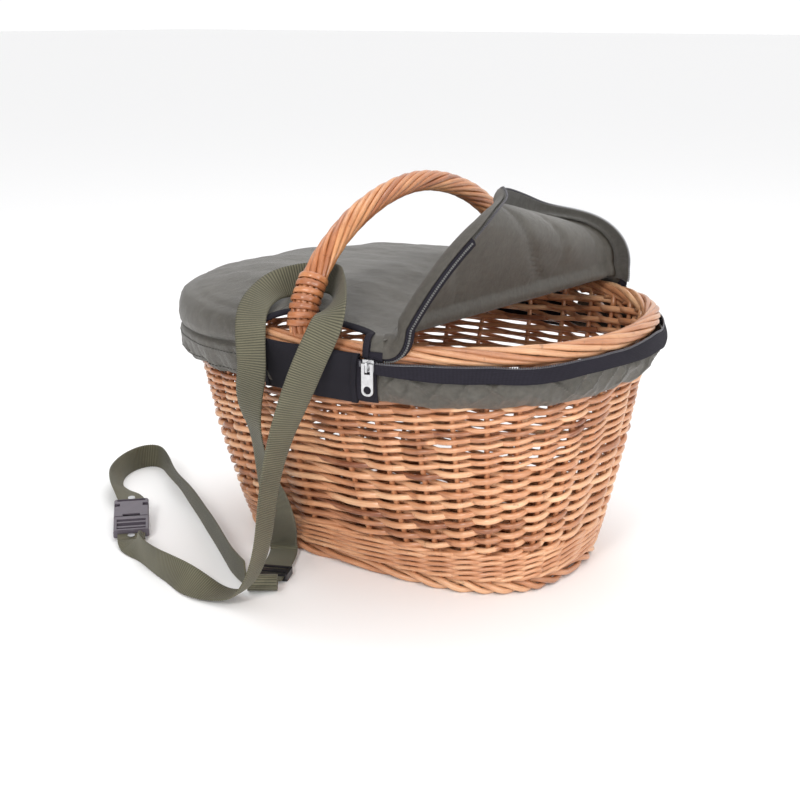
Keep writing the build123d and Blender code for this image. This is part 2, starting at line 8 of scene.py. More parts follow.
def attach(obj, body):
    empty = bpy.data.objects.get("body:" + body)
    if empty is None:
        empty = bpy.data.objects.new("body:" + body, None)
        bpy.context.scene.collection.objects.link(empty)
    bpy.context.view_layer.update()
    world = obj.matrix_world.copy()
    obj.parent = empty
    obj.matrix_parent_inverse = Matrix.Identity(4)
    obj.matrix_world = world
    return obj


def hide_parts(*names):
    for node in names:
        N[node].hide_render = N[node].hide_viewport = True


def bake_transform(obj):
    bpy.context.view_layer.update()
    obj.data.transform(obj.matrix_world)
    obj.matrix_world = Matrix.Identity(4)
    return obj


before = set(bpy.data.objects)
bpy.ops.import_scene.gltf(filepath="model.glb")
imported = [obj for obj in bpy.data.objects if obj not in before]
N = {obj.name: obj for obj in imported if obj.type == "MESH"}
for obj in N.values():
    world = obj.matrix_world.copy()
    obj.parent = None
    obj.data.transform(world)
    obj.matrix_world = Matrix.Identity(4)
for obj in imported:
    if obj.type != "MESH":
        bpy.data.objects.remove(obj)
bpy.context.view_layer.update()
SEED = 11
rng = np.random.default_rng(SEED)

# ------------------------------------------------------------------ the basket's form, in millimetres
RIM_A, RIM_B, RIM_N, RIM_Z = 207.0, 170.0, 2.283, 218.0
STAKES = 36
FOLD1 = ((88.7, -169.4), (111.4, 161.6))
FOLD2 = ((176.0, -117.9), (121.7, 157.1))
FOLD_Z, DEG1, DEG2 = 229.8, 71.6, 77.4
TAU = 2 * math.pi


def spow(v, p):
    return np.sign(v) * np.abs(v) ** p


def wall_axes(z):
    s = np.clip(np.asarray(z, float) / RIM_Z, 0, 1)
    k = s + 0.068 * 4 * s * (1 - s)
    return 161.5 + 45.5 * k, 99.0 + 71.0 * k, 2.98 + (2.283 - 2.98) * s, 2.4 * (1 - s), 1.2 * (1 - s)


def wall_pt(t, z, off):
    """point on the wall's ring at height z, off outside of its face"""
    a, b, n, cx, cy = wall_axes(z)
    x = cx + (a + off) * spow(np.cos(t), 2 / n)
    y = cy + (b + off) * spow(np.sin(t), 2 / n)
    return np.stack([x, y, np.broadcast_to(np.asarray(z, float), x.shape)], -1)


def rim_pt(t, off, z):
    x = (RIM_A + off) * spow(np.cos(t), 2 / RIM_N)
    y = (RIM_B + off) * spow(np.sin(t), 2 / RIM_N)
    return np.stack([x, y, np.broadcast_to(np.asarray(z, float), x.shape)], -1)


def smooth(x):
    x = np.clip(x, 0, 1)
    return x * x * (3 - 2 * x)


def unit(v):
    return v / np.maximum(np.linalg.norm(v, axis=-1, keepdims=True), 1e-12)


# ------------------------------------------------------------------ smooth noise for wrinkles
_perm = np.random.default_rng(5).random((64, 64, 8))


def noise2(x, y, layer=0):
    """smooth value noise, -1 to 1"""
    x, y = np.asarray(x, float), np.asarray(y, float)
    xi, yi = np.floor(x).astype(int), np.floor(y).astype(int)
    fx, fy = x - xi, y - yi
    fx, fy = fx * fx * fx * (fx * (fx * 6 - 15) + 10), fy * fy * fy * (fy * (fy * 6 - 15) + 10)
    g = lambda i, j: _perm[(xi + i) % 64, (yi + j) % 64, layer % 8]
    v = (g(0, 0) * (1 - fx) + g(1, 0) * fx) * (1 - fy) + (g(0, 1) * (1 - fx) + g(1, 1) * fx) * fy
    return v * 2 - 1


def fbm(x, y, layer=0, octaves=3):
    out, amp = 0, 1.0
    for o in range(octaves):
        out = out + amp * noise2(x * 2 ** o + 17 * o, y * 2 ** o + 9 * o, layer + o)
        amp *= 0.5
    return out / 1.75


# ------------------------------------------------------------------ mesh helpers
class Batch:
    """many small shapes gathered into one mesh"""

    def __init__(self):
        self.v, self.f, self.uv, self.tone, self.n = [], [], [], [], 0

    def add(self, v, f, uv=None, tone=0.5):
        v = np.asarray(v, float).reshape(-1, 3)
        self.v.append(v)
        self.f += [tuple(int(i) + self.n for i in q) for q in f]
        self.uv.append(np.zeros((len(v), 2)) if uv is None else np.asarray(uv, float).reshape(-1, 2))
        self.tone.append(np.broadcast_to(np.asarray(tone, float).reshape(-1), (len(v),)).copy())
        self.n += len(v)

    def make(self, name, mat, body="root", replaces=(), merge=0.0, shade=True):
        me = bpy.data.meshes.new(name)
        v = np.concatenate(self.v) * 0.001
        me.from_pydata(v.tolist(), [], self.f)
        uv = np.concatenate(self.uv)
        layer = me.uv_layers.new(name="UVMap")
        loops = np.zeros(len(me.loops), np.int32)
        me.loops.foreach_get("vertex_index", loops)
        layer.data.foreach_set("uv", uv[loops].astype(np.float32).ravel())
        at = me.attributes.new("tone", "FLOAT", "POINT")
        at.data.foreach_set("value", np.concatenate(self.tone).astype(np.float32))
        me.polygons.foreach_set("use_smooth", [shade] * len(me.polygons))
        me.update()
        ob = bpy.data.objects.new(name, me)
        bpy.context.scene.collection.objects.link(ob)
        if merge:
            import bmesh
            bm = bmesh.new()
            bm.from_mesh(me)
            bmesh.ops.remove_doubles(bm, verts=bm.verts, dist=merge * 0.001)
            bmesh.ops.dissolve_degenerate(bm, edges=bm.edges, dist=1e-6)
            bm.to_mesh(me)
            bm.free()
        me.materials.append(mat)
        if body:
            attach(ob, body)
        if replaces:
            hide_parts(*replaces)
        return ob


def tube(path, r, ref=(0, 0, 1), sides=8, closed=False, flat=1.0, cap=True, twist=None):
    """tube along path; flat squeezes it along ref. Returns points, faces and uv (length in cm, turn)"""
    p = np.asarray(path, float)
    n = len(p)
    if closed:
        d = np.roll(p, -1, 0) - np.roll(p, 1, 0)
    else:
        d = np.gradient(p, axis=0)
    d = unit(d)
    u = np.broadcast_to(np.asarray(ref, float), p.shape)
    u = unit(u - d * (u * d).sum(-1, keepdims=True))
    w = np.cross(d, u)
    r = np.broadcast_to(np.asarray(r, float), (n,))
    a = np.arange(sides) * TAU / sides
    ring = (u[:, None, :] * (np.cos(a)[None, :, None] * flat) + w[:, None, :] * np.sin(a)[None, :, None]) * r[:, None, None]
    v = (p[:, None, :] + ring).reshape(-1, 3)
    s = np.r_[0, np.cumsum(np.linalg.norm(np.diff(p, axis=0), axis=1))]
    uv = np.stack(np.meshgrid(s * 0.1, np.arange(sides) / sides, indexing="ij"), -1).reshape(-1, 2)
    f = []
    m = n if closed else n - 1
    for i in range(m):
        j = (i + 1) % n
        for k in range(sides):
            k2 = (k + 1) % sides
            f.append((i * sides + k, i * sides + k2, j * sides + k2, j * sides + k))
    if cap and not closed:
        f.append(tuple(range(sides))[::-1])
        f.append(tuple((n - 1) * sides + k for k in range(sides)))
    return v, f, uv


def grid_faces(rows, cols, closed_cols=False, flip=False):
    f = []
    for i in range(rows - 1):
        for j in range(cols if closed_cols else cols - 1):
            j2 = (j + 1) % cols
            q = (i * cols + j, i * cols + j2, (i + 1) * cols + j2, (i + 1) * cols + j)
            f.append(q[::-1] if flip else q)
    return f


# ------------------------------------------------------------------ materials
class Mat:
    def __init__(self, name):
        self.m = bpy.data.materials.new(name)
        self.m.use_nodes = True
        self.t = self.m.node_tree
        self.b = self.t.nodes["Principled BSDF"]

    def node(self, kind, **kw):
        n = self.t.nodes.new(kind)
        for k, v in kw.items():
            if k in n.inputs:
                n.inputs[k].default_value = v
            else:
                setattr(n, k, v)
        return n

    def link(self, a, ai, b, bi):
        self.t.links.new(a.outputs[ai], b.inputs[bi])

    def coords(self, kind="Object", scale=(1, 1, 1)):
        c = self.node("ShaderNodeTexCoord")
        m = self.node("ShaderNodeMapping")
        m.inputs["Scale"].default_value = scale
        self.link(c, kind, m, "Vector")
        return m

    def ramp(self, stops):
        n = self.node("ShaderNodeValToRGB")
        e = n.color_ramp.elements
        while len(e) < len(stops):
            e.new(0.5)
        for x, (pos, col) in zip(e, stops):
            x.position = pos
            x.color = (*col, 1) if len(col) == 3 else col
        return n

    def mix(self, a, b, fac, blend="MIX"):
        """a, b: (node, output) or colour; fac: (node, output) or number"""
        n = self.node("ShaderNodeMix", data_type="RGBA", blend_type=blend)
        for idx, x in ((6, a), (7, b)):
            if isinstance(x, tuple) and hasattr(x[0], "outputs"):
                self.t.links.new(x[0].outputs[x[1]], n.inputs[idx])
            else:
                n.inputs[idx].default_value = (*x, 1)
        if isinstance(fac, tuple):
            self.t.links.new(fac[0].outputs[fac[1]], n.inputs[0])
        else:
            n.inputs[0].default_value = fac
        return (n, 2)

    def out(self, src, socket):
        self.t.links.new(src[0].outputs[src[1]], self.b.inputs[socket])

    def math(self, op, a, b=0.0, clamp=False):
        n = self.node("ShaderNodeMath", operation=op, use_clamp=clamp)
        for i, x in enumerate((a, b)):
            if isinstance(x, tuple):
                self.t.links.new(x[0].outputs[x[1]], n.inputs[i])
            else:
                n.inputs[i].default_value = x
        return (n, 0)

    def bump(self, src, strength, distance):
        n = self.node("ShaderNodeBump")
        n.inputs["Strength"].default_value = strength
        n.inputs["Distance"].default_value = distance
        self.t.links.new(src[0].outputs[src[1]], n.inputs["Height"])
        self.t.links.new(n.outputs[0], self.b.inputs["Normal"])
        return n


def wicker(name, dark, mid, light, rough=0.38, shade=1.0):
    """peeled willow: colour by rod, streaks along the rod, small knots and specks"""
    m = Mat(name)
    at = m.node("ShaderNodeAttribute", attribute_name="tone")
    c = m.coords("UV", (0.35, 5.0, 1))
    n1 = m.node("ShaderNodeTexNoise", Scale=2.2, Detail=4.0, Roughness=0.6)
    m.link(c, 0, n1, "Vector")
    c2 = m.coords("Object", (1, 1, 1))
    n2 = m.node("ShaderNodeTexNoise", Scale=38.0, Detail=3.0, Roughness=0.55)
    m.link(c2, 0, n2, "Vector")
    a = m.math("MULTIPLY_ADD", (n1, 0), 0.55)
    a[0].inputs[2].default_value = -0.27
    b = m.math("ADD", (at, "Fac"), a)
    e = m.math("MULTIPLY_ADD", (n2, 0), 0.5)
    e[0].inputs[2].default_value = -0.25
    g = m.math("ADD", b, e)
    r = m.ramp([(0.05, dark), (0.45, mid), (0.95, light)])
    m.t.links.new(g[0].outputs[0], r.inputs[0])
    # dark specks and knots
    n3 = m.node("ShaderNodeTexNoise", Scale=170.0, Detail=2.0, Roughness=0.5)
    m.link(c2, 0, n3, "Vector")
    k = m.ramp([(0.66, (0, 0, 0)), (0.76, (1, 1, 1))])
    m.t.links.new(n3.outputs[0], k.inputs[0])
    kf = m.math("MULTIPLY", (k, 0), 0.45)
    col = m.mix((r, 0), (dark[0] * 0.45, dark[1] * 0.4, dark[2] * 0.4), kf)
    m.out(col, "Base Color")
    rr = m.math("MULTIPLY_ADD", (n1, 0), 0.22)
    rr[0].inputs[2].default_value = rough - 0.11
    m.out(rr, "Roughness")
    m.b.inputs["Specular IOR Level"].default_value = 0.55
    m.b.inputs["Coat Weight"].default_value = 0.22
    m.b.inputs["Coat Roughness"].default_value = 0.3
    h = m.math("MULTIPLY_ADD", (n1, 0), 1.0)
    m.bump(h, 0.35, 0.0006)
    return m.m


def cloth(name, base, rough, weave=0.0007, weave_amt=0.25, crinkle=0.35, sheen=0.25, light=1.35):
    """coated woven fabric: fine plain weave, faint crinkles, uneven wear"""
    m = Mat(name)
    c = m.coords("Object", (1, 1, 1))
    n1 = m.node("ShaderNodeTexNoise", Scale=14.0, Detail=5.0, Roughness=0.62)
    m.link(c, 0, n1, "Vector")
    n2 = m.node("ShaderNodeTexNoise", Scale=260.0, Detail=2.0, Roughness=0.5)
    m.link(c, 0, n2, "Vector")
    r = m.ramp([(0.25, tuple(x * 0.82 for x in base)), (0.55, base), (0.85, tuple(min(1, x * light) for x in base))])
    m.t.links.new(n1.outputs[0], r.inputs[0])
    k = m.ramp([(0.35, (0.86, 0.86, 0.86)), (0.65, (1.1, 1.1, 1.1))])
    m.t.links.new(n2.outputs[0], k.inputs[0])
    m.out(m.mix((r, 0), (k, 0), 1.0, "MULTIPLY"), "Base Color")
    m.b.inputs["Roughness"].default_value = rough
    m.b.inputs["Sheen Weight"].default_value = sheen
    m.b.inputs["Sheen Roughness"].default_value = 0.45
    w1 = m.node("ShaderNodeTexWave", wave_type="BANDS", bands_direction="X")
    w1.inputs["Scale"].default_value = 1.0 / weave / TAU * 2
    w2 = m.node("ShaderNodeTexWave", wave_type="BANDS", bands_direction="Y")
    w2.inputs["Scale"].default_value = 1.0 / weave / TAU * 2
    cu = m.coords("UV", (0.001, 0.001, 1))
    m.link(cu, 0, w1, "Vector")
    m.link(cu, 0, w2, "Vector")
    ww = m.math("ADD", (w1, 1), (w2, 1))
    wm = m.math("MULTIPLY", ww, weave_amt * 0.0003)
    cr = m.node("ShaderNodeTexNoise", Scale=55.0, Detail=4.0, Roughness=0.6)
    m.link(c, 0, cr, "Vector")
    cm = m.math("MULTIPLY", (cr, 0), crinkle * 0.004)
    h = m.math("ADD", wm, cm)
    bn = m.bump(h, 1.0, 1.0)
    return m.m


def webbing(name, base, dark, light, pitch, rough=0.62, twill=False, rib=0.35, sheen=0.1, spec=0.4):
    """ribbed tape: UV is (length, width) in millimetres"""
    m = Mat(name)
    cu = m.coords("UV", (1, 1, 1))
    sep = m.node("ShaderNodeSeparateXYZ")
    m.link(cu, 0, sep, "Vector")
    arg = m.math("MULTIPLY", (sep, 0), TAU / pitch)
    if twill:
        arg = m.math("ADD", arg, m.math("MULTIPLY", (sep, 1), TAU / pitch * 0.9))
    s = m.math("SINE", arg)
    s01 = m.math("MULTIPLY_ADD", s, 0.5)
    s01[0].inputs[2].default_value = 0.5
    cross = m.math("SINE", m.math("MULTIPLY", (sep, 1), TAU / 1.1))
    c01 = m.math("MULTIPLY_ADD", cross, 0.5)
    c01[0].inputs[2].default_value = 0.5
    # colour follows the ribs: darker in the grooves and lighter on the rib tops, painted shade and painted highlight
    r = m.ramp([(0.0, dark), (0.35, base), (1.0, light)])
    m.t.links.new(s01[0].outputs[0], r.inputs[0])
    c = m.coords("Object", (1, 1, 1))
    n1 = m.node("ShaderNodeTexNoise", Scale=30.0, Detail=4.0, Roughness=0.6)
    m.link(c, 0, n1, "Vector")
    k = m.ramp([(0.3, (0.85, 0.85, 0.85)), (0.7, (1.12, 1.12, 1.1))])
    m.t.links.new(n1.outputs[0], k.inputs[0])
    x = m.mix((r, 0), (k, 0), 1.0, "MULTIPLY")
    # the cross ribs darken between them in the same way: painted shade
    k2 = m.ramp([(0.0, (0.8, 0.8, 0.8)), (0.6, (1.05, 1.05, 1.05))])
    m.t.links.new(c01[0].outputs[0], k2.inputs[0])
    m.out(m.mix(x, (k2, 0), 0.55, "MULTIPLY"), "Base Color")
    m.b.inputs["Roughness"].default_value = rough
    m.b.inputs["Specular IOR Level"].default_value = spec
    m.b.inputs["Sheen Weight"].default_value = sheen
    h = m.math("ADD", m.math("MULTIPLY", s01, rib * 0.001), m.math("MULTIPLY", c01, 0.00012))
    m.bump(h, 1.0, 1.0)
    return m.m


def plain(name, base, rough, metal=0.0, scale=120.0, amt=0.00004, vary=0.12, coat=0.0):
    m = Mat(name)
    c = m.coords("Object", (1, 1, 1))
    n = m.node("ShaderNodeTexNoise", Scale=scale, Detail=3.0, Roughness=0.55)
    m.link(c, 0, n, "Vector")
    r = m.ramp([(0.3, tuple(x * (1 - vary) for x in base)), (0.7, tuple(min(1, x * (1 + vary)) for x in base))])
    m.t.links.new(n.outputs[0], r.inputs[0])
    m.out((r, 0), "Base Color")
    rr = m.math("MULTIPLY_ADD", (n, 0), 0.15)
    rr[0].inputs[2].default_value = rough - 0.07
    m.out(rr, "Roughness")
    m.b.inputs["Metallic"].default_value = metal
    m.b.inputs["Coat Weight"].default_value = coat
    h = m.math("MULTIPLY", (n, 0), amt)
    m.bump(h, 1.0, 1.0)
    return m.m


M_SIDE = wicker("wicker_side", (0.20, 0.066, 0.029), (0.54, 0.245, 0.120), (0.84, 0.54, 0.32), rough=0.33)
M_STAKE = wicker("wicker_stake", (0.22, 0.072, 0.030), (0.50, 0.21, 0.095), (0.74, 0.43, 0.23))
M_RIM = wicker("wicker_rim", (0.17, 0.056, 0.026), (0.45, 0.195, 0.092), (0.74, 0.46, 0.26), rough=0.3)
M_HANDLE = wicker("wicker_handle", (0.12, 0.032, 0.012), (0.43, 0.155, 0.06), (0.76, 0.40, 0.18), rough=0.26)
M_CLOTH = cloth("cover_fabric", (0.071, 0.0645, 0.0525), 0.46, sheen=0.12)
M_INSIDE = cloth("cover_fabric_inside", (0.066, 0.0585, 0.048), 0.55, sheen=0.05)
M_HEM = cloth("lid_hem_tape", (0.050, 0.046, 0.038), 0.8, weave_amt=0.6, crinkle=0.8, sheen=0.3, light=1.6)
M_BLACK = webbing("black_webbing", (0.0085, 0.0075, 0.0125), (0.004, 0.0035, 0.006), (0.014, 0.0125, 0.02), 1.5, rough=0.8, twill=True, rib=0.2, sheen=0.0, spec=0.25)
M_TAPE = webbing("zip_tape", (0.0105, 0.009, 0.0155), (0.005, 0.0045, 0.007), (0.019, 0.0165, 0.026), 1.0, rough=0.85, rib=0.12, sheen=0.0, spec=0.25)
M_COIL = plain("zip_coil", (0.060, 0.058, 0.068), 0.3)
# lighter copy of the zip coil colour, used on the flap's teeth only: a painted highlight on one stretch of the same
# coil
M_COIL_PAINTED_HIGHLIGHT = plain("zip_coil_painted_highlight", (0.13, 0.13, 0.127), 0.35)
M_METAL = plain("zip_metal", (0.56, 0.56, 0.57), 0.3, metal=1.0, vary=0.12, scale=300.0)
M_STRAP = webbing("strap_webbing", (0.094, 0.087, 0.053), (0.040, 0.037, 0.022), (0.138, 0.129, 0.082), 2.0, rib=0.3)
M_BUCKLE = plain("buckle_plastic", (0.105, 0.090, 0.112), 0.36, vary=0.1, coat=0.1)
M_ADJ = plain("adjuster_plastic", (0.014, 0.013, 0.016), 0.42)
M_THREAD = plain("stitch_thread", (0.030, 0.031, 0.026), 0.7)

# ------------------------------------------------------------------ camera, floor, lights
A, E, D = math.radians(35.807), math.radians(16.557), 1.21436
back = Vector((math.sin(A) * math.cos(E), -math.cos(A) * math.cos(E), math.sin(E)))
right = Vector((math.cos(A), math.sin(A), 0))
upv = back.cross(right)
cam_data = bpy.data.cameras.new("camera")
cam_data.sensor_width = 36
cam_data.lens = 1298.984 * 36 / 800
cam_data.clip_start = 0.05
cam_data.clip_end = 50
cam = bpy.data.objects.new("camera", cam_data)
bpy.context.scene.collection.objects.link(cam)
loc = back * D + right * -0.01426 + upv * 0.122586
cam.matrix_world = Matrix(((right.x, upv.x, back.x, loc.x), (right.y, upv.y, back.y, loc.y), (right.z, upv.z, back.z, loc.z), (0, 0, 0, 1)))
bpy.context.scene.camera = cam

me = bpy.data.meshes.new("floor")
me.from_pydata([(-30, -30, 0), (30, -30, 0), (30, 30, 0), (-30, 30, 0)], [], [(0, 1, 2, 3)])
floor = bpy.data.objects.new("floor", me)
bpy.context.scene.collection.objects.link(floor)
fm = Mat("floor_pale")
fm.b.inputs["Base Color"].default_value = (0.955, 0.955, 0.96, 1)
fm.b.inputs["Roughness"].default_value = 0.85
me.materials.append(fm.m)

world = bpy.data.worlds.new("studio")
bpy.context.scene.world = world
world.use_nodes = True
world.node_tree.nodes["Background"].inputs[0].default_value = (1.0, 1.0, 1.0, 1)
world.node_tree.nodes["Background"].inputs[1].default_value = 1.0
wt = world.node_tree
w_dir = wt.nodes.new("ShaderNodeTexCoord")
w_dot = wt.nodes.new("ShaderNodeVectorMath")
w_dot.operation = "DOT_PRODUCT"
w_dot.inputs[1].default_value = (0.81, 0.585, 0.0)
w_map = wt.nodes.new("ShaderNodeMapRange")
w_map.interpolation_type = "SMOOTHSTEP"
for k_, v_ in (("From Min", -1.0), ("From Max", -0.2), ("To Min", 0.35), ("To Max", 1.06)):
    w_map.inputs[k_].default_value = v_
wt.links.new(w_dir.outputs["Generated"], w_dot.inputs[0])
wt.links.new(w_dot.outputs["Value"], w_map.inputs["Value"])
wt.links.new(w_map.outputs["Result"], wt.nodes["Background"].inputs[1])


def area(name, at, aim, size, power, colour=(1, 1, 1)):
    d = bpy.data.lights.new(name, "AREA")
    d.shape = "RECTANGLE"
    d.size, d.size_y = size
    d.energy = power
    d.color = colour
    o = bpy.data.objects.new(name, d)
    bpy.context.scene.collection.objects.link(o)
    o.location = at
    o.rotation_euler = (Vector(aim) - Vector(at)).to_track_quat("-Z", "Y").to_euler()
    return o


area("key", (0.45, -1.9, 1.35), (0, 0, 0.15), (0.5, 0.5), 19, (1.0, 0.985, 0.96))
area("side", (1.9, -0.7, 0.8), (0, 0, 0.15), (0.6, 0.9), 13)
area("top", (-0.2, 0.5, 2.1), (0, 0, 0.2), (1.0, 1.0), 9)
bpy.context.scene.view_settings.view_transform = "Standard"

# ------------------------------------------------------------------ shoulder strap
MAIN = [((-191.2, -177.3, 4.9), (-.69, -.724, 0)), ((-178, -188, 8), (-.5, -.5, -.7)), ((-158, -199, 12.8), (0, 0, -1)),
        ((-130, -210, 12.8), (0, 0, -1)), ((-98, -217, 12.8), (0, -.25, -.96)), ((-70, -219.5, 9), (0, -.8, -.5)),
        ((-46, -216, 4), (.1, -.99, 0)), ((-26, -212, 8), (.1, -.99, 0)), ((-12, -209, 28), (.1, -.99, 0)),
        ((-4, -206, 60), (.1, -.99, 0)), ((-2, -201, 100), (.03, -.99, 0)), ((6, -196, 140), (-.2, -.97, 0)),
        ((20, -193, 175), (-.6, -.8, 0)), ((34, -191, 208), (-.86, -.5, 0)), ((46, -187, 234), (-.84, -.53, -.1)),
        ((45, -171, 252), (-.6, -.5, -.6)), ((28, -144, 258), (-.3, -.2, -.93)), ((8, -122, 260), (0, -.4, -.9)),
        ((-14, -120, 259), (.1, -.3, -.93)), ((-31, -133, 256), (.4, .1, -.85)), ((-39, -150, 252), (.8, .4, -.45)),
        ((-36, -176, 241), (.88, .44, -.1)), ((-23, -192.8, 219), (.93, .36, 0)), ((-21, -193.8, 195), (.93, .3, 0)),
        ((-30, -190, 168), (.9, .1, 0)), ((-27, -185, 138), (.85, -.5, 0)), ((-29, -172, 104), (.9, -.2, 0)),
        ((-38, -151, 66), (.85, .4, 0)), ((-52, -127, 34), (.84, .54, 0)), ((-65, -113, 12), (.84, .54, 0)),
        ((-65.5, -110.5, 4.5), (.87, .49, 0)), ((-61, -117, 3.6), (.9, .43, 0)), ((-52, -132, 3.5), (.91, .41, 0)),
        ((-43, -150, 3.5), (.91, .41, 0)), ((-34.5, -169, 3.5), (.91, .41, 0))]
TAIL = [((-43, -186, 12.8), (0, .1, -1)), ((-66, -176, 12.8), (0, 0, -1)), ((-98, -154, 12.8), (0, 0, -1)),
        ((-134, -129, 12.8), (0, 0, -1)), ((-172, -105, 12.8), (0, .05, -1)), ((-212, -80, 12.8), (0, .1, -1)),
        ((-254, -54, 12.8), (.1, .3, -1)), ((-292, -30, 12.8), (0, 0, -1)), ((-322, -12, 12.8), (0, 0, -1)),
        ((-337, -22, 12.8), (0, 0, -1)), ((-334, -52, 12.8), (0, 0, -1)), ((-314, -84, 12.8), (.3, .3, -.9)),
        ((-288, -102, 13), (.55, .6, -.6)), ((-265, -112, 12.5), (.67, .71, -.15)), ((-249.5, -121.7, 12.0), (.69, .724, 0))]


def nurbs_line(points, resolution):
    """points along the NURBS spline that has these control points"""
    cu = bpy.data.curves.new("route", "CURVE")
    cu.dimensions = "3D"
    sp = cu.splines.new("NURBS")
    sp.points.add(len(points) - 1)
    for i, p in enumerate(points):
        sp.points[i].co = (p[0] * 0.001, p[1] * 0.001, p[2] * 0.001, 1)
    sp.order_u = 3
    sp.use_endpoint_u = True
    sp.resolution_u = resolution
    ob = bpy.data.objects.new("route", cu)
    bpy.context.scene.collection.objects.link(ob)
    bpy.context.view_layer.update()
    got = bpy.data.meshes.new_from_object(ob.evaluated_get(bpy.context.evaluated_depsgraph_get()))
    out = np.array([v.co for v in got.vertices], float) * 1000
    bpy.data.objects.remove(ob)
    bpy.data.curves.remove(cu)
    bpy.data.meshes.remove(got)
    return out


def resample(p, step):
    s = np.r_[0, np.cumsum(np.linalg.norm(np.diff(p, axis=0), axis=1))]
    n = int(s[-1] / step) + 1
    q = np.linspace(0, s[-1], n)
    return np.stack([np.interp(q, s, p[:, k]) for k in range(p.shape[1])], -1), q


def strap(name, route, replaces):
    W, T = 25.0, 1.5
    both = nurbs_line([r[0] for r in route], 24)
    side = nurbs_line([(r[1][0] * 100, r[1][1] * 100, r[1][2] * 100) for r in route], 24)
    s = np.r_[0, np.cumsum(np.linalg.norm(np.diff(both, axis=0), axis=1))]
    q = np.linspace(0, s[-1], int(s[-1] / 0.6) + 1)
    p = np.stack([np.interp(q, s, both[:, k]) for k in range(3)], -1)
    w = np.stack([np.interp(q, s, side[:, k]) for k in range(3)], -1)
    k = np.ones(9) / 9
    for c in range(3):
        p[4:-4, c] = np.convolve(p[:, c], k, "valid")
        w[4:-4, c] = np.convolve(w[:, c], k, "valid")
    d = unit(np.gradient(p, axis=0))
    w = unit(w - d * (w * d).sum(-1, keepdims=True))
    h = np.cross(d, w)
    p[:, 2] = np.maximum(p[:, 2], W / 2 * abs(w[:, 2]) + T / 2 * abs(h[:, 2]) + 0.15)
    # section: rounded flat tape with ribs across
    prof = []
    for u in np.linspace(-1, 1, 15):
        prof.append((u, 1.0 if abs(u) < 0.99 else 0.45))
    sec = [(u, e) for u, e in prof] + [(u, -e) for u, e in prof[::-1]]
    rib = 0.12 * np.cos(q * TAU / 2.0)
    v = np.zeros((len(p), len(sec), 3))
    uv = np.zeros((len(p), len(sec), 2))
    cup = 0.9 * noise2(q / 60.0, q * 0 + 3.3, 2)
    for j, (u, e) in enumerate(sec):
        edge = 1 - abs(u) ** 6
        th = (T / 2 - 0.1) * e + np.sign(e) * rib * edge * 0.6
        bend = cup * (u * u - 0.35)
        ww = u * (W / 2 - 0.15 + 0.12 * (abs(u) > 0.99) * np.cos(q * TAU / 2.0 + 1.0))
        v[:, j] = p + w * (ww[:, None] if hasattr(ww, "__len__") else ww) + h * (th + bend)[:, None]
        uv[:, j] = np.stack([q, np.full_like(q, u * W / 2)], -1)
    n, m = len(p), len(sec)
    f = grid_faces(n, m, closed_cols=True)
    v[:, :, 2] = np.maximum(v[:, :, 2], 0.05)
    bt = Batch()
    f.append(tuple(range(m))[::-1])
    f.append(tuple((n - 1) * m + k2 for k2 in range(m)))
    bt.add(v.reshape(-1, 3), f, uv.reshape(-1, 2))
    ob = bt.make(name, M_STRAP, "root", replaces)
    return ob, p, q[-1]


strap_a, path_a, len_a = strap("shoulder_strap_long", MAIN, ("strap_main",))
strap_b, path_b, len_b = strap("shoulder_strap_short", TAIL, ("strap_tail",))
print("strap lengths", round(len_a, 1), round(len_b, 1))

# the rolled end beside the adjuster: a spiral of webbing
rd, ro = unit(np.array([.80, .60, 0.0])), np.array([-28.0, -182.0, 7.4])
e1, e2 = np.cross(rd, [0, 0, 1.0]), np.array([0, 0, 1.0])
ang = np.linspace(0, TAU * 1.75, 110)
rad = 6.6 - ang / TAU * 1.75
bt = Batch()
rows = []
for u in np.linspace(-12.4, 12.4, 53):
    rib = 0.12 * math.cos(u * TAU / 2.0)
    rows.append(ro + rd * u + e1 * ((rad + 0)[:, None] * np.cos(ang)[:, None]) + e2 * ((rad + 0)[:, None] * np.sin(ang)[:, None]))
rows = np.array(rows)
bt.add(rows.reshape(-1, 3), grid_faces(53, 110), np.stack(np.meshgrid(np.linspace(-12.4, 12.4, 53), rad[::-1] * 0 + np.cumsum(rad * TAU * 1.75 / 110), indexing="ij"), -1)[..., ::-1].reshape(-1, 2))
roll = bt.make("strap_rolled_end", M_STRAP, "root", ("strap_roll",))
md = roll.modifiers.new("thick", "SOLIDIFY")
md.thickness = 0.0014
md.offset = -1

# ------------------------------------------------------------------ woven wall
def s_to_t(s):
    return TAU * (s + 0.5) / STAKES


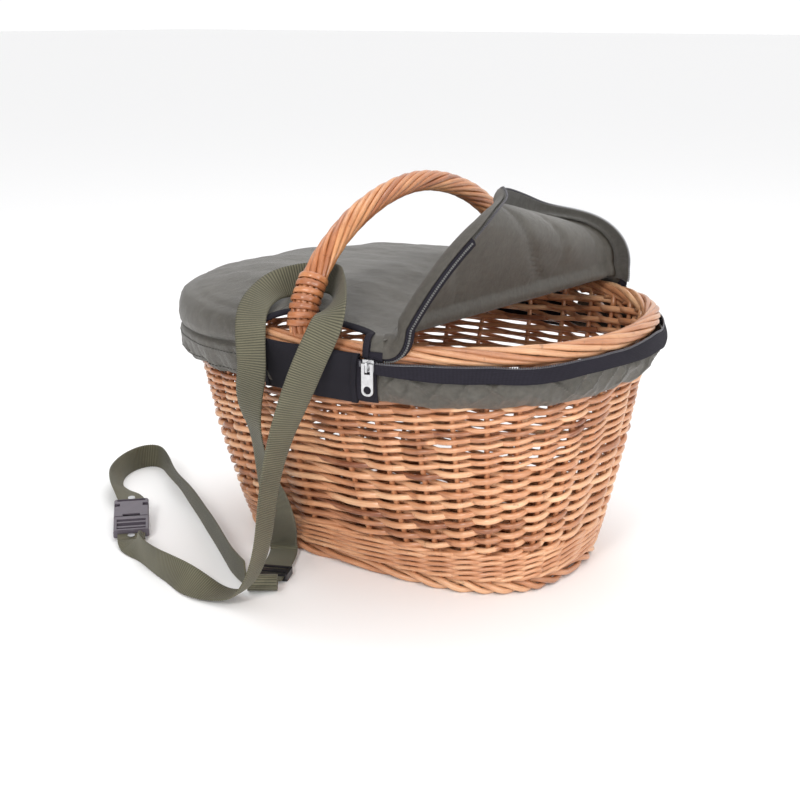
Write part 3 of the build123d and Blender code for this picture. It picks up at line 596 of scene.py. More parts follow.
def woven_row(bt, z0, r0, phase, amp=3.9, seed=0, tone0=0.5, zslope=1.25, per=10):
    g = np.random.default_rng(seed)
    s = np.arange(STAKES * per) / per
    c = np.cos(np.pi * (s + phase))
    shape = np.sign(c) * np.abs(c) ** 0.85
    wav = noise2(s / 3.1 + seed * 7.7, s * 0 + seed * 0.37, 1)
    wav = wav + (noise2((s - STAKES) / 3.1 + seed * 7.7, s * 0 + seed * 0.37, 1) - wav) * smooth((s - STAKES + 3) / 3)
    z = z0 + 0.55 * wav + zslope * np.sin(np.pi * (s + phase)) * g.uniform(0.6, 1.3)
    joins = np.sort(g.uniform(0, STAKES, 6))
    seg = np.searchsorted(joins, s) % 6
    tones = np.clip(tone0 + g.normal(0, 0.15, 6), 0.02, 0.98)[seg]
    tip = ((s - joins[(seg - 1) % 6]) % STAKES) / np.maximum((joins[seg % 6] - joins[(seg - 1) % 6]) % STAKES, 0.5)
    r = r0 * (1.08 - 0.16 * np.clip(tip, 0, 1)) * (1 + 0.05 * noise2(s * 1.7, s * 0 + seed, 3))
    off = -4.5 + shape * (amp + 0.25 * wav)
    t = s_to_t(s)
    a, b, n, cx, cy = wall_axes(z)
    x = cx + (a + off) * spow(np.cos(t), 2 / n)
    y = cy + (b + off) * spow(np.sin(t), 2 / n)
    p = np.stack([x, y, z], -1)
    v, f, uv = tube(p, r, (0, 0, 1), 8, closed=True, flat=1.16)
    uv[:, 0] += seed * 13.7
    bt.add(v, f, uv, np.repeat(tones, 8))


bt = Batch()
z, row = 41.6, 0
while z < 209.5:
    if z < 118:
        pitch, r = 4.7, 2.28
    elif z < 170:
        pitch, r = 3.5, 1.78
    else:
        pitch, r = 4.8, 2.42
    tone = 0.42 + 0.16 * rng.random()
    woven_row(bt, z, r * rng.uniform(0.94, 1.06), row, amp=2.25 + r - 0.5, seed=100 + row, tone0=tone)
    z += pitch
    row += 1
side = bt.make("side_weave_rods", M_SIDE, "root", ("side_weave", "side_weave_upper"))

# three-rod wale above the foot: each rod in front of two stakes and behind one
bt = Batch()
z, row = 14.2, 0
while z < 41.5:
    for j in range(3):
        s = np.arange(STAKES * 10) / 10
        ph = TAU * (s + j) / 3
        off = -4.1 + 3.7 * np.clip(np.cos(ph) * 1.15 + 0.25, -1, 1)
        zz = z + 1.6 + 1.5 * np.sin(ph + 0.5) + 0.35 * noise2(s / 2.7, s * 0 + row * 3 + j, 4) * np.sin(np.pi * s / STAKES)
        a, b, n, cx, cy = wall_axes(zz)
        t = s_to_t(s)
        p = np.stack([cx + (a + off) * spow(np.cos(t), 2 / n), cy + (b + off) * spow(np.sin(t), 2 / n), zz], -1)
        v, f, uv = tube(p, 1.95, (0, 0, 1), 8, closed=True)
        uv[:, 0] += 31.7 * (row * 3 + j)
        bt.add(v, f, uv, 0.38 + 0.22 * rng.random())
    z += 5.5
    row += 1
bt.make("side_wale_rods", M_SIDE, "root", ("side_wale_lower",))

# upright stakes
bt = Batch()
for k in range(STAKES):
    zz = np.linspace(9, 211, 40)
    t = s_to_t(np.full(40, k) + 0.02 * noise2(zz / 40, zz * 0 + k, 2))
    a, b, n, cx, cy = wall_axes(zz)
    off = -4.5
    p = np.stack([cx + (a + off) * spow(np.cos(t), 2 / n), cy + (b + off) * spow(np.sin(t), 2 / n), zz], -1)
    v, f, uv = tube(p, np.linspace(2.5, 2.15, 40), (1, 0.3, 0), 8)
    uv[:, 0] += 7.3 * k
    bt.add(v, f, uv, 0.3 + 0.3 * rng.random())
bt.make("stake_rods", M_STAKE, "root", ("stakes",))


# rolled borders: rods that lie over each other in a slow spiral
def rolled(bt, centre, radial, R, r0, r1, span, phi0, phi1, seed, lead=None, tail=None, floor_z=None, tone=(0.3, 0.75), wob=0.35):
    g = np.random.default_rng(seed)
    for k in range(STAKES):
        s = np.linspace(k, k + span, int(span * 9))
        f = (s - k) / span
        jit = g.uniform(-0.16, 0.16)
        phi = np.radians(phi0 + (phi1 - phi0) * f) + jit * np.sin(np.pi * f) + 0.10 * noise2(s * 0.9, s * 0 + k, 5)
        R2 = R + wob * noise2(s * 0.8 + 3 * k, s * 0 + seed, 6) + g.uniform(-0.2, 0.45)
        c = centre(s)
        u = radial(s)
        p = c + u * (R2 * np.cos(phi))[:, None] + np.array([0, 0, 1.0]) * (R2 * np.sin(phi))[:, None]
        if lead is not None:
            p = np.concatenate([lead(k, p[0]), p])
        if tail is not None:
            p = np.concatenate([p, tail(k + span, p[-1], u[-1])])
        n = len(p)
        r = np.linspace(r0, r1, n) * g.uniform(0.93, 1.07)
        if floor_z is not None:
            p[:, 2] = np.maximum(p[:, 2], r + floor_z)
        v, fc, uv = tube(p, r, unit(np.cross(unit(np.gradient(p, axis=0)), [0.3, 0.2, 1.0])), 8)
        uv[:, 0] += 5.1 * k
        bt.add(v, fc, uv, g.uniform(*tone))


def rim_centre(s):
    return rim_pt(s_to_t(s), 0, RIM_Z)


def rim_radial(s):
    return unit((rim_pt(s_to_t(s), 5, RIM_Z) - rim_pt(s_to_t(s), -5, RIM_Z)) * [1, 1, 0])


def rim_lead(k, first):
    a, b, n, cx, cy = wall_axes(204.0)
    t = s_to_t(np.array([k - 0.02]))
    low = np.stack([cx + (a - 4.5) * spow(np.cos(t), 2 / n), cy + (b - 4.5) * spow(np.sin(t), 2 / n), t * 0 + 205.0], -1)[0]
    mid = low * 0.5 + first * 0.5
    return np.array([low, mid])


def rim_tail(s, last, u):
    nxt = rim_centre(np.array([s + 0.35]))[0] - rim_radial(np.array([s + 0.35]))[0] * 6.8
    nxt[2] = 213.0
    return np.array([last * 0.4 + nxt * 0.6, nxt])


bt = Batch()
rolled(bt, rim_centre, rim_radial, 5.0, 2.75, 2.15, 7.0, 205, -160, 3, lead=rim_lead, tail=rim_tail)
bt.make("rim_border_rods", M_RIM, "root", ("rim_border",))


def foot_centre(s):
    t = s_to_t(s)
    return wall_pt(t, np.full_like(t, 4.0), -3.4) * [1, 1, 0] + [0, 0, 6.4]


def foot_radial(s):
    t = s_to_t(s)
    return unit((wall_pt(t, np.full_like(t, 4.0), 3) - wall_pt(t, np.full_like(t, 4.0), -7)) * [1, 1, 0])


bt = Batch()
rolled(bt, foot_centre, foot_radial, 3.5, 3.0, 2.4, 2.7, 155, -175, 9, floor_z=0.02, tone=(0.3, 0.75), wob=0.4)
bt.make("foot_border_rods", M_SIDE, "root", ("foot_border",))

# floor of the basket
bt = Batch()
fa, fb = 161.5 - 6.5 - 3.9, 99.0 - 6.5 - 3.9
i = 0
y = -fb + 2.5
while y < fb - 1:
    L = fa * (1 - (abs(y) / fb) ** 2.98) ** (1 / 2.98)
    if L > 12:
        x = np.linspace(-L, L, max(12, int(L / 2.2)))
        zz = 6.0 + 1.7 * np.cos(np.pi * (x / 38.0 + i))
        p = np.stack([x + 2.4, np.full_like(x, y + 1.2) + 0.3 * noise2(x / 30, x * 0 + i, 2), zz], -1)
        v, f, uv = tube(p, 2.05, (0, 0, 1), 6)
        bt.add(v, f, uv + [i * 11.0, 0], 0.35 + 0.3 * rng.random())
    y += 4.25
    i += 1
for x0 in range(-152, 153, 38):
    for dx in (-19, 0):
        x1 = x0 + dx
        if abs(x1) < fa - 4 and dx == 0:
            L = fb * (1 - (abs(x1) / fa) ** 2.98) ** (1 / 2.98)
            yy = np.linspace(-L, L, 40)
            p = np.stack([np.full_like(yy, x1 + 2.4), yy + 1.2, np.full_like(yy, 6.0)], -1)
            v, f, uv = tube(p, 1.5, (0, 0, 1), 6)
            bt.add(v, f, uv, 0.3)
bt.make("floor_weave_rods", M_STAKE, "root", ("base_weave",))
bt = Batch()
for y0 in (-56, -28, 0, 28, 56):
    L = (161.5 - 10.5) * (1 - min(1, abs(y0) / (99 - 10.5)) ** 2.98) ** (1 / 2.98) - 6
    x = np.linspace(-L, L, 50)
    p = np.stack([x + 2.4, y0 + 1.2 + 0.7 * noise2(x / 45, x * 0 + y0, 1), 11.1 + 0.25 * noise2(x / 25, x * 0 + y0 + 5, 2)], -1)
    v, f, uv = tube(p, np.linspace(2.6, 2.2, 50), (0, 0, 1), 8)
    bt.add(v, f, uv, 0.35 + 0.2 * rng.random())
bt.make("floor_sticks_long", M_STAKE, "root", ("base_sticks_long",))
bt = Batch()
for x0 in (-114, -76, -38, 0, 38, 76, 114):
    L = (99 - 10.5) * (1 - min(1, abs(x0) / (161.5 - 10.5)) ** 2.98) ** (1 / 2.98) - 6
    y = np.linspace(-L, L, 40)
    p = np.stack([x0 + 2.4 + 0.7 * noise2(y / 45, y * 0 + x0, 1), y + 1.2, 16.0 + 0.25 * noise2(y / 25, y * 0 + x0 + 5, 2)], -1)
    v, f, uv = tube(p, np.linspace(2.6, 2.2, 40), (0, 0, 1), 8)
    bt.add(v, f, uv, 0.35 + 0.2 * rng.random())
bt.make("floor_sticks_cross", M_STAKE, "root", ("base_sticks_cross",))

# ------------------------------------------------------------------ handle
tt = np.linspace(0, np.pi, 6001)
cc, ss = np.cos(tt), np.sin(tt)
qq = np.abs(ss) ** (2 / 1.84)
arch = np.stack([5.5 - 2.9 * qq, -2.6 - 163.0 * spow(cc, 2 / 1.84), 218.0 + 107.5 * qq], -1)
arc_s = np.r_[0, np.cumsum(np.linalg.norm(np.diff(arch, axis=0), axis=1))]
ARC = arc_s[-1]


def arch_at(l):
    return np.stack([np.interp(l, arc_s, arch[:, k]) for k in range(3)], -1)


def arch_frame(l):
    T = unit(arch_at(np.minimum(l + 2, ARC)) - arch_at(np.maximum(l - 2, 0)))
    Nn = np.broadcast_to(np.array([1.0, 0, 0]), T.shape)
    Nn = unit(Nn - T * (Nn * T).sum(-1, keepdims=True))
    return T, Nn, np.cross(T, Nn)


def handle_r(l):
    e = np.minimum(l, ARC - l)
    return 8.9 + 1.3 * np.exp(-((e / 120.0) ** 2)) - 1.6 * np.exp(-((e / 14.0) ** 2))


STRANDS, LAY = 10, 178.0
bt = Batch()
l = np.linspace(3, ARC - 3, 330)
T, Nn, B = arch_frame(l)
P = arch_at(l)
for j in range(STRANDS):
    R = handle_r(l)
    r = R * 0.250 * rng.uniform(0.97, 1.05)
    phi = TAU * j / STRANDS - TAU * l / LAY + 0.10 * noise2(l / 45.0, l * 0 + j * 3.1, 3)
    Rc = (R - r) * (1 + 0.02 * noise2(l / 30.0, l * 0 + j, 4))
    u = Nn * np.cos(phi)[:, None] + B * np.sin(phi)[:, None]
    v, f, uv = tube(P + u * Rc[:, None], r, u, 10)
    bt.add(v, f, uv + [j * 17.0, 0], 0.32 + 0.34 * rng.random())
bt.make("handle_twisted_rods", M_HANDLE, "root", ("handle_rods",))


def binding(name, from_end, node):
    bt = Batch()
    g = np.random.default_rng(21 if from_end else 20)
    for k in range(7):
        l0 = 13.6 + 6.0 * k + g.uniform(-0.3, 0.3)
        l0 = ARC - l0 if from_end else l0
        T, Nn, B = arch_frame(np.array([l0]))
        c = arch_at(np.array([l0]))[0]
        R = handle_r(np.array([l0]))[0] + 0.75
        a = np.arange(56) * TAU / 56
        bump = 0.30 * np.abs(np.cos(a * STRANDS / 2 + k)) + 0.15 * g.uniform(0, 1)
        tilt = g.uniform(0.8, 1.6)
        path = c + Nn[0] * ((R + bump) * np.cos(a))[:, None] + B[0] * ((R + bump) * np.sin(a))[:, None] + T[0] * (tilt * np.sin(a + 0.8))[:, None]
        out = Nn[0] * np.cos(a)[:, None] + B[0] * np.sin(a)[:, None]
        v, f, uv = tube(path, 2.55 * g.uniform(0.92, 1.06), out, 12, closed=True, flat=0.36)
        bt.add(v, f, uv + [k * 9.0, 0], g.uniform(0.35, 0.62))
    return bt.make(name, M_HANDLE, "root", (node,))


binding("handle_skein_front", False, "handle_binding_front")
binding("handle_skein_back", True, "handle_binding_back")
N["handle_bow"].data.materials.clear()
N["handle_bow"].data.materials.append(M_STAKE)

# ------------------------------------------------------------------ fabric cover
F1 = np.array([*FOLD1[0], FOLD_Z])
D1 = unit(np.array([FOLD1[1][0] - FOLD1[0][0], FOLD1[1][1] - FOLD1[0][1], 0.0]))
N1 = np.array([D1[1], -D1[0], 0.0])
F2 = np.array([*FOLD2[0], FOLD_Z])
D2 = unit(np.array([FOLD2[1][0] - FOLD2[0][0], FOLD2[1][1] - FOLD2[0][1], 0.0]))
N2 = np.array([D2[1], -D2[0], 0.0])


def turn(p, o, d, ang):
    """rotate points about the line o, d by ang (radians, one each)"""
    q = p - o
    c, s_ = np.cos(ang)[..., None], np.sin(ang)[..., None]
    return o + q * c + np.cross(d, q) * s_ + d * (q @ d)[..., None] * (1 - c)


W1, W2 = 16.0, 62.0


def crease(p, o, d, n, deg, width):
    """bends flat cloth about a line, over a strip of the given width"""
    return turn(p, o, d, -math.radians(deg) * smooth(((p - o) @ n) / width))


def folded(p):
    """from the closed, flat lid to how it lies open"""
    q = p.reshape(-1, 3)
    w1 = smooth(((q - F1) @ N1) / W1)
    q = crease(q, F2, D2, N2, DEG2, W2)
    q = turn(q, F1, D1, -math.radians(DEG1) * w1)
    return q.reshape(p.shape)


def qnorm(x, y, a=208.0, b=171.0):
    return (np.abs(x / a) ** RIM_N + np.abs(y / b) ** RIM_N) ** (1 / RIM_N)


def left_of_fold(x, y):
    return -((x - F1[0]) * N1[0] + (y - F1[1]) * N1[1])


def top_z(x, y):
    q = np.minimum(qnorm(x, y), 1.0)
    crown = 229.0 + 23.7 * (1 - q ** 2.6) ** 0.62
    d = left_of_fold(x, y)
    z = 230.2 + (crown - 230.2) * smooth(d / 120.0 + 0.02)
    soft = smooth((1 - q) / 0.10) * smooth(d / 30.0)
    z = z + soft * (2.8 * fbm(x / 95.0 + 3.1, y / 42.0 + 1.7, 1) + 1.1 * fbm((x + 0.5 * y) / 34.0, y / 20.0 + 4, 4))
    edge = smooth((1 - q) / 0.03) * smooth((q - 0.62) / 0.2)
    z = z + edge * 0.9 * fbm(np.arctan2(y, x) * 7.0, q * 5.0, 2)
    return z


M0 = np.array([25.0, 0.0])


def ray_to_rim(al, off):
    """where the ray at angle al from the lid's middle meets the rim's outline, off outside; returns (x, y)"""
    lo_, hi_ = np.zeros_like(al), np.full_like(al, 300.0)
    for _ in range(40):
        m_ = (lo_ + hi_) / 2
        x, y = M0[0] + m_ * np.cos(al), M0[1] + m_ * np.sin(al)
        inside = qnorm(x, y, RIM_A + off, RIM_B + off) < 1
        lo_, hi_ = np.where(inside, m_, lo_), np.where(inside, hi_, m_)
    return np.stack([M0[0] + lo_ * np.cos(al), M0[1] + lo_ * np.sin(al)], -1)


def angle_of(x, y):
    return math.atan2(y - M0[1], x - M0[0]) % TAU


NOTCH = math.radians(15.9)
a_fb = angle_of(*FOLD1[1])          # back end of the fold line
a_ff = angle_of(*FOLD1[0])          # front end
a_b1, a_b0 = math.pi / 2 - NOTCH, math.pi / 2 + NOTCH
a_f0, a_f1 = 1.5 * math.pi - NOTCH, 1.5 * math.pi + NOTCH

# border rows outside of the top: offset from the rim's centre line, share of the way down to the crease
BORDER = [(-2.2, 0.0), (2.0, 0.045), (5.6, 0.13), (8.3, 0.28), (9.6, 0.48), (9.9, 0.70), (9.2, 0.88), (7.6, 0.97), (5.4, 1.0)]


def leftness(al):
    return smooth((-np.cos(al) - 0.15) / 0.8)


def crease_z(al):
    return 211.0 - 9.0 * leftness(al) + 0.8 * noise2(al * 5.0, al * 0 + 0.5, 6)


def border_rows(al):
    rows = []
    zc = crease_z(al)
    for o, f in BORDER:
        xy = ray_to_rim(al, o)
        w = 1.1 * fbm(al * 9.0, al * 0 + f * 2.0, 3) * smooth((o + 2) / 8)
        dirn = unit(xy - M0)
        xy = xy + dirn * w[:, None]
        zz = 232.0 + (zc - 232.0) * f + 0.9 * fbm(al * 6.0 + 3, al * 0 + f * 1.4, 5) * smooth((o + 2) / 8)
        rows.append(np.concatenate([xy, zz[:, None]], 1))
    return rows


def wall_ray(al, off):
    """where the ray at angle al meets the wall's outline at the skirt's foot"""
    a, b, nn, cx, cy = wall_axes(178.0)
    lo_, hi_ = np.zeros_like(al), np.full_like(al, 300.0)
    for _ in range(40):
        m_ = (lo_ + hi_) / 2
        x, y = M0[0] + m_ * np.cos(al) - cx, M0[1] + m_ * np.sin(al) - cy
        inside = (np.abs(x / (a + off)) ** nn + np.abs(y / (b + off)) ** nn) < 1
        lo_, hi_ = np.where(inside, m_, lo_), np.where(inside, hi_, m_)
    return np.stack([M0[0] + lo_ * np.cos(al), M0[1] + lo_ * np.sin(al)], -1)


def skirt_rows(al, top=None, right_side=False, n=18):
    """from under the border down to the hem, then a short return inside"""
    rows = []
    lf = leftness(al)
    top = crease_z(al) - 0.7 if top is None else np.full_like(al, top)
    rim = ray_to_rim(al, 9.0 if not right_side else 9.6)
    wall_ = wall_ray(al, 4.8 + (6.5 * lf if not right_side else 0.0))
    dirn = unit(rim - M0)
    arc = np.r_[0, np.cumsum(np.linalg.norm(np.diff(rim, axis=0), axis=1))]
    ends = smooth(arc / 26.0) * smooth((arc[-1] - arc) / 26.0)
    for i in range(n):
        f = (i / (n - 1)) ** 1.15
        z = top + (178.2 - top) * f
        g = (np.maximum(0.0, (z - 178.0) / 35.0) ** 0.75)[:, None]
        xy = rim * g + wall_ * (1 - g)
        # gathers at the hem, slanting wrinkles above
        gather = (1.1 * np.sin(arc / 8.5 + 2.2 * noise2(arc / 26.0, arc * 0 + 2, 1)) + 1.1 * noise2(arc / 5.0, arc * 0 + 6, 2)) * smooth((f - 0.3) / 0.6)
        if right_side:
            slant = 3.4 * fbm((arc + z * 1.5) / 30.0, (arc - z * 0.5) / 70.0 + 5, 6)
            slant = slant + 4.2 * (1 - np.abs(noise2((arc + z * 1.7) / 26.0, (arc - z) / 60.0 + 3, 1))) ** 5
            slant = slant + 2.4 * (1 - np.abs(noise2((arc - z * 0.9) / 19.0, (arc + z) / 50.0 + 8, 3))) ** 6 - 1.6
            slant = slant * math.sin(math.pi * min(1, f * 1.02 + 0.02)) ** 0.7 * ends
            o = (3.0 * math.sin(math.pi * min(1.0, f)) ** 0.8) * ends + slant + gather * 0.8
        else:
            slant = 2.6 * fbm((arc + z * 0.5) / 9.0, z / 60.0 + 5, 6) * math.sin(math.pi * min(1, f * 1.05)) ** 0.8
            o = 1.6 * math.sin(math.pi * min(1.0, f)) ** 0.8 + slant * 0.7 + gather - 3.4 * math.exp(-(f / 0.07) ** 2)
        zz = z + (1.0 * noise2(arc / 17.0, arc * 0 + 9, 3) + 0.9 * np.sin(arc / 8.5)) * smooth((f - 0.5) * 2)
        rows.append(np.concatenate([xy + dirn * o[:, None], zz[:, None]], 1))
    last = rows[-1]
    for din, dz in ((-1.2, -0.9), (-2.6, -0.4), (-3.2, 1.2), (-3.3, 4.0)):
        xy = last[:, :2] + dirn * din
        rows.append(np.concatenate([xy, last[:, 2:] + dz], 1))
    return rows, arc


def notch_edge(al, mid):
    fr = np.minimum(np.abs(al - mid) / NOTCH, 1.0)
    x = M0[0] + 158.0 * np.cos(al)
    return ray_to_rim_var(al, -2.2 - 9.5 * (1 - fr ** 3) ** 0.8 - 8.0 * np.exp(-((x - 5.0) / 13.0) ** 2))


def ray_to_rim_var(al, off):
    lo_, hi_ = np.zeros_like(al), np.full_like(al, 300.0)
    for _ in range(40):
        m_ = (lo_ + hi_) / 2
        x, y = M0[0] + m_ * np.cos(al), M0[1] + m_ * np.sin(al)
        inside = (np.abs(x / (RIM_A + off)) ** RIM_N + np.abs(y / (RIM_B + off)) ** RIM_N) < 1
        lo_, hi_ = np.where(inside, m_, lo_), np.where(inside, hi_, m_)
    return np.stack([M0[0] + lo_ * np.cos(al), M0[1] + lo_ * np.sin(al)], -1)


def uv_of(v):
    return np.stack([v[..., 0] + v[..., 2] * 0.7, v[..., 1] + v[..., 2] * 0.7], -1)


bt = Batch()
RHO = 1 - np.linspace(0, 1, 44)[1:] ** 1.15      # inward rows of the top
top_parts = [(a_fb, a_b1, "rim"), (a_b1, a_b0, "notch"), (a_b0, a_f0, "rim"), (a_f0, a_f1, "notch"), (a_f1, a_ff, "rim"), (a_ff, a_fb + TAU, "fold")]
hem_left = None
for lo_a, hi_a, kind in top_parts:
    n = max(10, int((hi_a - lo_a) / TAU * 620))
    al = np.linspace(lo_a, hi_a, n)
    if kind == "rim":
        E0 = ray_to_rim(al, -2.2)
    elif kind == "notch":
        E0 = notch_edge(al, (lo_a + hi_a) / 2)
    else:
        dx, dy = np.cos(al), np.sin(al)
        k = ((F1[0] - M0[0]) * N1[0] + (F1[1] - M0[1]) * N1[1]) / (dx * N1[0] + dy * N1[1])
        E0 = np.stack([M0[0] + k * dx, M0[1] + k * dy], -1)
    rows = []
    if kind == "rim":
        br = border_rows(al)
        if lo_a == a_b0:
            sk, arc = skirt_rows(al)
            hem_left = (sk, arc, br)
            rows = sk[::-1] + br[::-1]
        else:
            rows = br[:6][::-1]
    for rho in RHO:
        xy = M0 + (E0 - M0) * rho
        z = top_z(xy[:, 0], xy[:, 1])
        if kind == "rim":
            z = z * smooth((1 - rho) / 0.03) + 232.0 * (1 - smooth((1 - rho) / 0.03)) if rho > 0.9 else z
        rows.append(np.concatenate([xy, z[:, None]], 1))
    if kind != "rim":
        z = top_z(E0[:, 0], E0[:, 1])
        rows.insert(0, np.concatenate([E0, z[:, None]], 1))
    g = np.array(rows)
    bt.add(g.reshape(-1, 3), grid_faces(g.shape[0], g.shape[1], flip=False), uv_of(g).reshape(-1, 2))
cover = bt.make("cover_top_and_left", M_CLOTH, "root", ("cover_skirt_left", "lid_fixed", "lid_border", "hem_elastic"), merge=0.02)
md = cover.modifiers.new("thick", "SOLIDIFY")
md.thickness = 0.0008
md.offset = -1

# black tape along the lower edge of the lid's fixed part, from each notch to the fold
bt = Batch()
for lo_a, hi_a in ((a_f1, a_ff), (a_fb, a_b1)):
    al = np.linspace(lo_a, hi_a, 40)
    g = np.array([np.concatenate([ray_to_rim(al, o), np.full((40, 1), z)], 1) for o, z in ((9.9, 220.8), (10.7, 218.6), (10.9, 216.0), (10.2, 213.6))])
    bt.add(g.reshape(-1, 3), grid_faces(4, 40), uv_of(g).reshape(-1, 2))
ob = bt.make("lid_lower_tape", M_TAPE, "root", ())
md = ob.modifiers.new("thick", "SOLIDIFY")
md.thickness = 0.0009
md.offset = 0

# right skirt under the zip
bt = Batch()
al0, al1 = angle_of(71.9, -168.0), angle_of(71.9, 168.0) + TAU
al = np.linspace(al0 + 0.028, al1, 560)
sk, arc_r = skirt_rows(al, top=206.5, right_side=True, n=20)
g = np.array(sk)
bt.add(g.reshape(-1, 3), grid_faces(g.shape[0], g.shape[1], flip=True), uv_of(g).reshape(-1, 2))
rs = bt.make("cover_skirt_zip_side", M_CLOTH, "root", ("cover_skirt_right",))
md = rs.modifiers.new("thick", "SOLIDIFY")
md.thickness = 0.0008
md.offset = -1

# ------------------------------------------------------------------ lower zip half
def edge_wave(arc):
    return 1.9 * noise2(arc / 46.0, arc * 0 + 1.5, 4) + 0.8 * noise2(arc / 19.0, arc * 0 + 7.5, 2)


al = np.linspace(al0 + 0.005, angle_of(111.4, 165.0) + TAU, 620)
rim = ray_to_rim(al, 12.0)
arc_z = np.r_[0, np.cumsum(np.linalg.norm(np.diff(rim, axis=0), axis=1))]
rim = ray_to_rim_var(al, 9.2 + 2.8 * (1 - smooth((arc_z - 18) / 34.0)))
dirn = unit(rim - M0)
wide = 1 + 0.22 * noise2(arc_z / 70.0, arc_z * 0 + 4, 2) - 0.3 * (1 - smooth(arc_z / 60.0))
wave = edge_wave(arc_z) * smooth((arc_z - 24) / 20)
rows = []
for f in np.linspace(0, 1, 9):
    z = 212.0 - 12.2 * (1 - f) * wide
    o = 3.4 - 2.8 * f ** 1.5 + 0.9 * noise2(arc_z / 30.0, arc_z * 0 + f, 5) * (1 - f * 0.4)
    rows.append(np.concatenate([rim + dirn * o[:, None], (z + wave)[:, None]], 1))
g = np.array(rows)
bt = Batch()
bt.add(g.reshape(-1, 3), grid_faces(9, len(al), flip=False), np.stack([np.broadcast_to(arc_z, (9, len(al))), np.broadcast_to(np.linspace(0, 10.4, 9)[:, None], (9, len(al)))], -1).reshape(-1, 2))
tape_low = bt.make("zip_tape_skirt", M_TAPE, "root", ("zip_tape_lower",))
md = tape_low.modifiers.new("thick", "SOLIDIFY")
md.thickness = 0.0009
md.offset = 0


def teeth(bt, line, upv_, outv, pitch=1.9, size=(1.15, 1.9, 1.5), tone=0.5):
    """small coil loops along a line"""
    s_ = np.r_[0, np.cumsum(np.linalg.norm(np.diff(line, axis=0), axis=1))]
    q = np.arange(pitch, s_[-1] - pitch, pitch)
    p = np.stack([np.interp(q, s_, line[:, k]) for k in range(3)], -1)
    u = unit(np.stack([np.interp(q, s_, upv_[:, k]) for k in range(3)], -1))
    o = unit(np.stack([np.interp(q, s_, outv[:, k]) for k in range(3)], -1))
    d = unit(np.gradient(p, axis=0))
    o = unit(o - d * (o * d).sum(-1, keepdims=True))
    u = np.cross(o, d) * np.sign((np.cross(o, d) * u).sum(-1, keepdims=True))
    a = np.arange(8) * TAU / 8
    for i in range(len(p)):
        ring = []
        for sx, k in ((-0.5, 0.75), (-0.3, 1.0), (0.3, 1.0), (0.5, 0.75)):
            ring.append(p[i] + d[i] * (sx * size[0]) + u[i] * (np.cos(a)[:, None] * size[1] / 2 * k) + o[i] * (np.sin(a)[:, None] * size[2] / 2 * k))
        v = np.concatenate(ring)
        f = grid_faces(4, 8, closed_cols=True) + [tuple(range(8))[::-1], tuple(24 + j for j in range(8))]
        bt.add(v, f, None, tone)


bt = Batch()
line = np.concatenate([rim + dirn * (0.4 + 0.5 * noise2(arc_z / 30.0, arc_z * 0 + 1, 5))[:, None], (212.8 + wave)[:, None]], 1)
up3 = np.broadcast_to(np.array([0, 0, 1.0]), line.shape)
out3 = np.concatenate([dirn, dirn[:, :1] * 0], 1)
teeth(bt, line, up3, out3)
v, f, uv = tube(line - up3 * 0.9, 0.75, (0, 0, 1), 6)
bt.add(v, f, uv)
bt.make("zip_teeth_skirt", M_COIL, "root", ("zip_coil_lower",))

# ------------------------------------------------------------------ the lid's open part
def t_of(x, y):
    return math.atan2(spow(y / RIM_B, RIM_N / 2), spow(x / RIM_A, RIM_N / 2))


t1f, t1b = t_of(*FOLD1[0]), t_of(*FOLD1[1])
t2f, t2b = t_of(*FOLD2[0]), t_of(*FOLD2[1])
tm = 0.5 * (t2f + t2b) - 0.15
EDGE = [(0.0, 231.2), (3.2, 229.9), (6.2, 227.2), (8.4, 223.4), (9.6, 219.4), (10.0, 216.2)]


def corner(t):
    """how far the lid's outline draws in round its free corner"""
    return 9.5 * smooth(1.25 - np.abs(t + 0.20) / 0.34)


def lid_pt(t, o, z):
    c = corner(t)
    x = (RIM_A + o * (1 - 0.04 * c) - c) * spow(np.cos(t), 2 / RIM_N)
    y = (RIM_B + o * (1 - 0.04 * c) - c) * spow(np.sin(t), 2 / RIM_N)
    return np.stack([x, y, np.broadcast_to(np.asarray(z, float), x.shape)], -1)


def flap_flat(tf, tb, n_in=56):
    """one chord row of the flat lid with its turned-down edge at both ends"""
    a = lid_pt(np.array([tf]), -2.0, 231.8)[0]
    b = lid_pt(np.array([tb]), -2.0, 231.8)[0]
    v = np.linspace(0, 1, n_in)
    v = 0.5 - 0.5 * np.cos(np.pi * v) * (0.35 + 0.65 * 1)
    v = (v - v[0]) / (v[-1] - v[0])
    inner = a + (b - a) * v[:, None]
    front = np.array([lid_pt(np.array([tf]), o, z)[0] for o, z in EDGE[::-1]])
    rear = np.array([lid_pt(np.array([tb]), o, z)[0] for o, z in EDGE])
    return np.concatenate([front, inner, rear])


def flap_wrinkle(g):
    x, y = g[..., 0], g[..., 1]
    q = np.minimum(qnorm(x, y), 1)
    d = -left_of_fold(x, y)
    soft = smooth((1 - q) / 0.12)
    dz = soft * smooth(d / 25.0) * (2.6 * fbm(x / 70.0 + 7, y / 90.0 + 2, 5) + 0.8 * fbm(x / 24.0, y / 30.0, 2))
    # a hollow between the two folds, deepest in the middle
    ridge = (1 - np.abs(noise2((x * 0.8 + y * 0.9) / 52.0 + 2.2, (y - x) / 130.0, 4))) ** 4
    dz = dz + soft * smooth(d / 25.0) * 3.4 * ridge
    g = g.copy()
    g[..., 2] += dz - 1.5 * soft
    return g


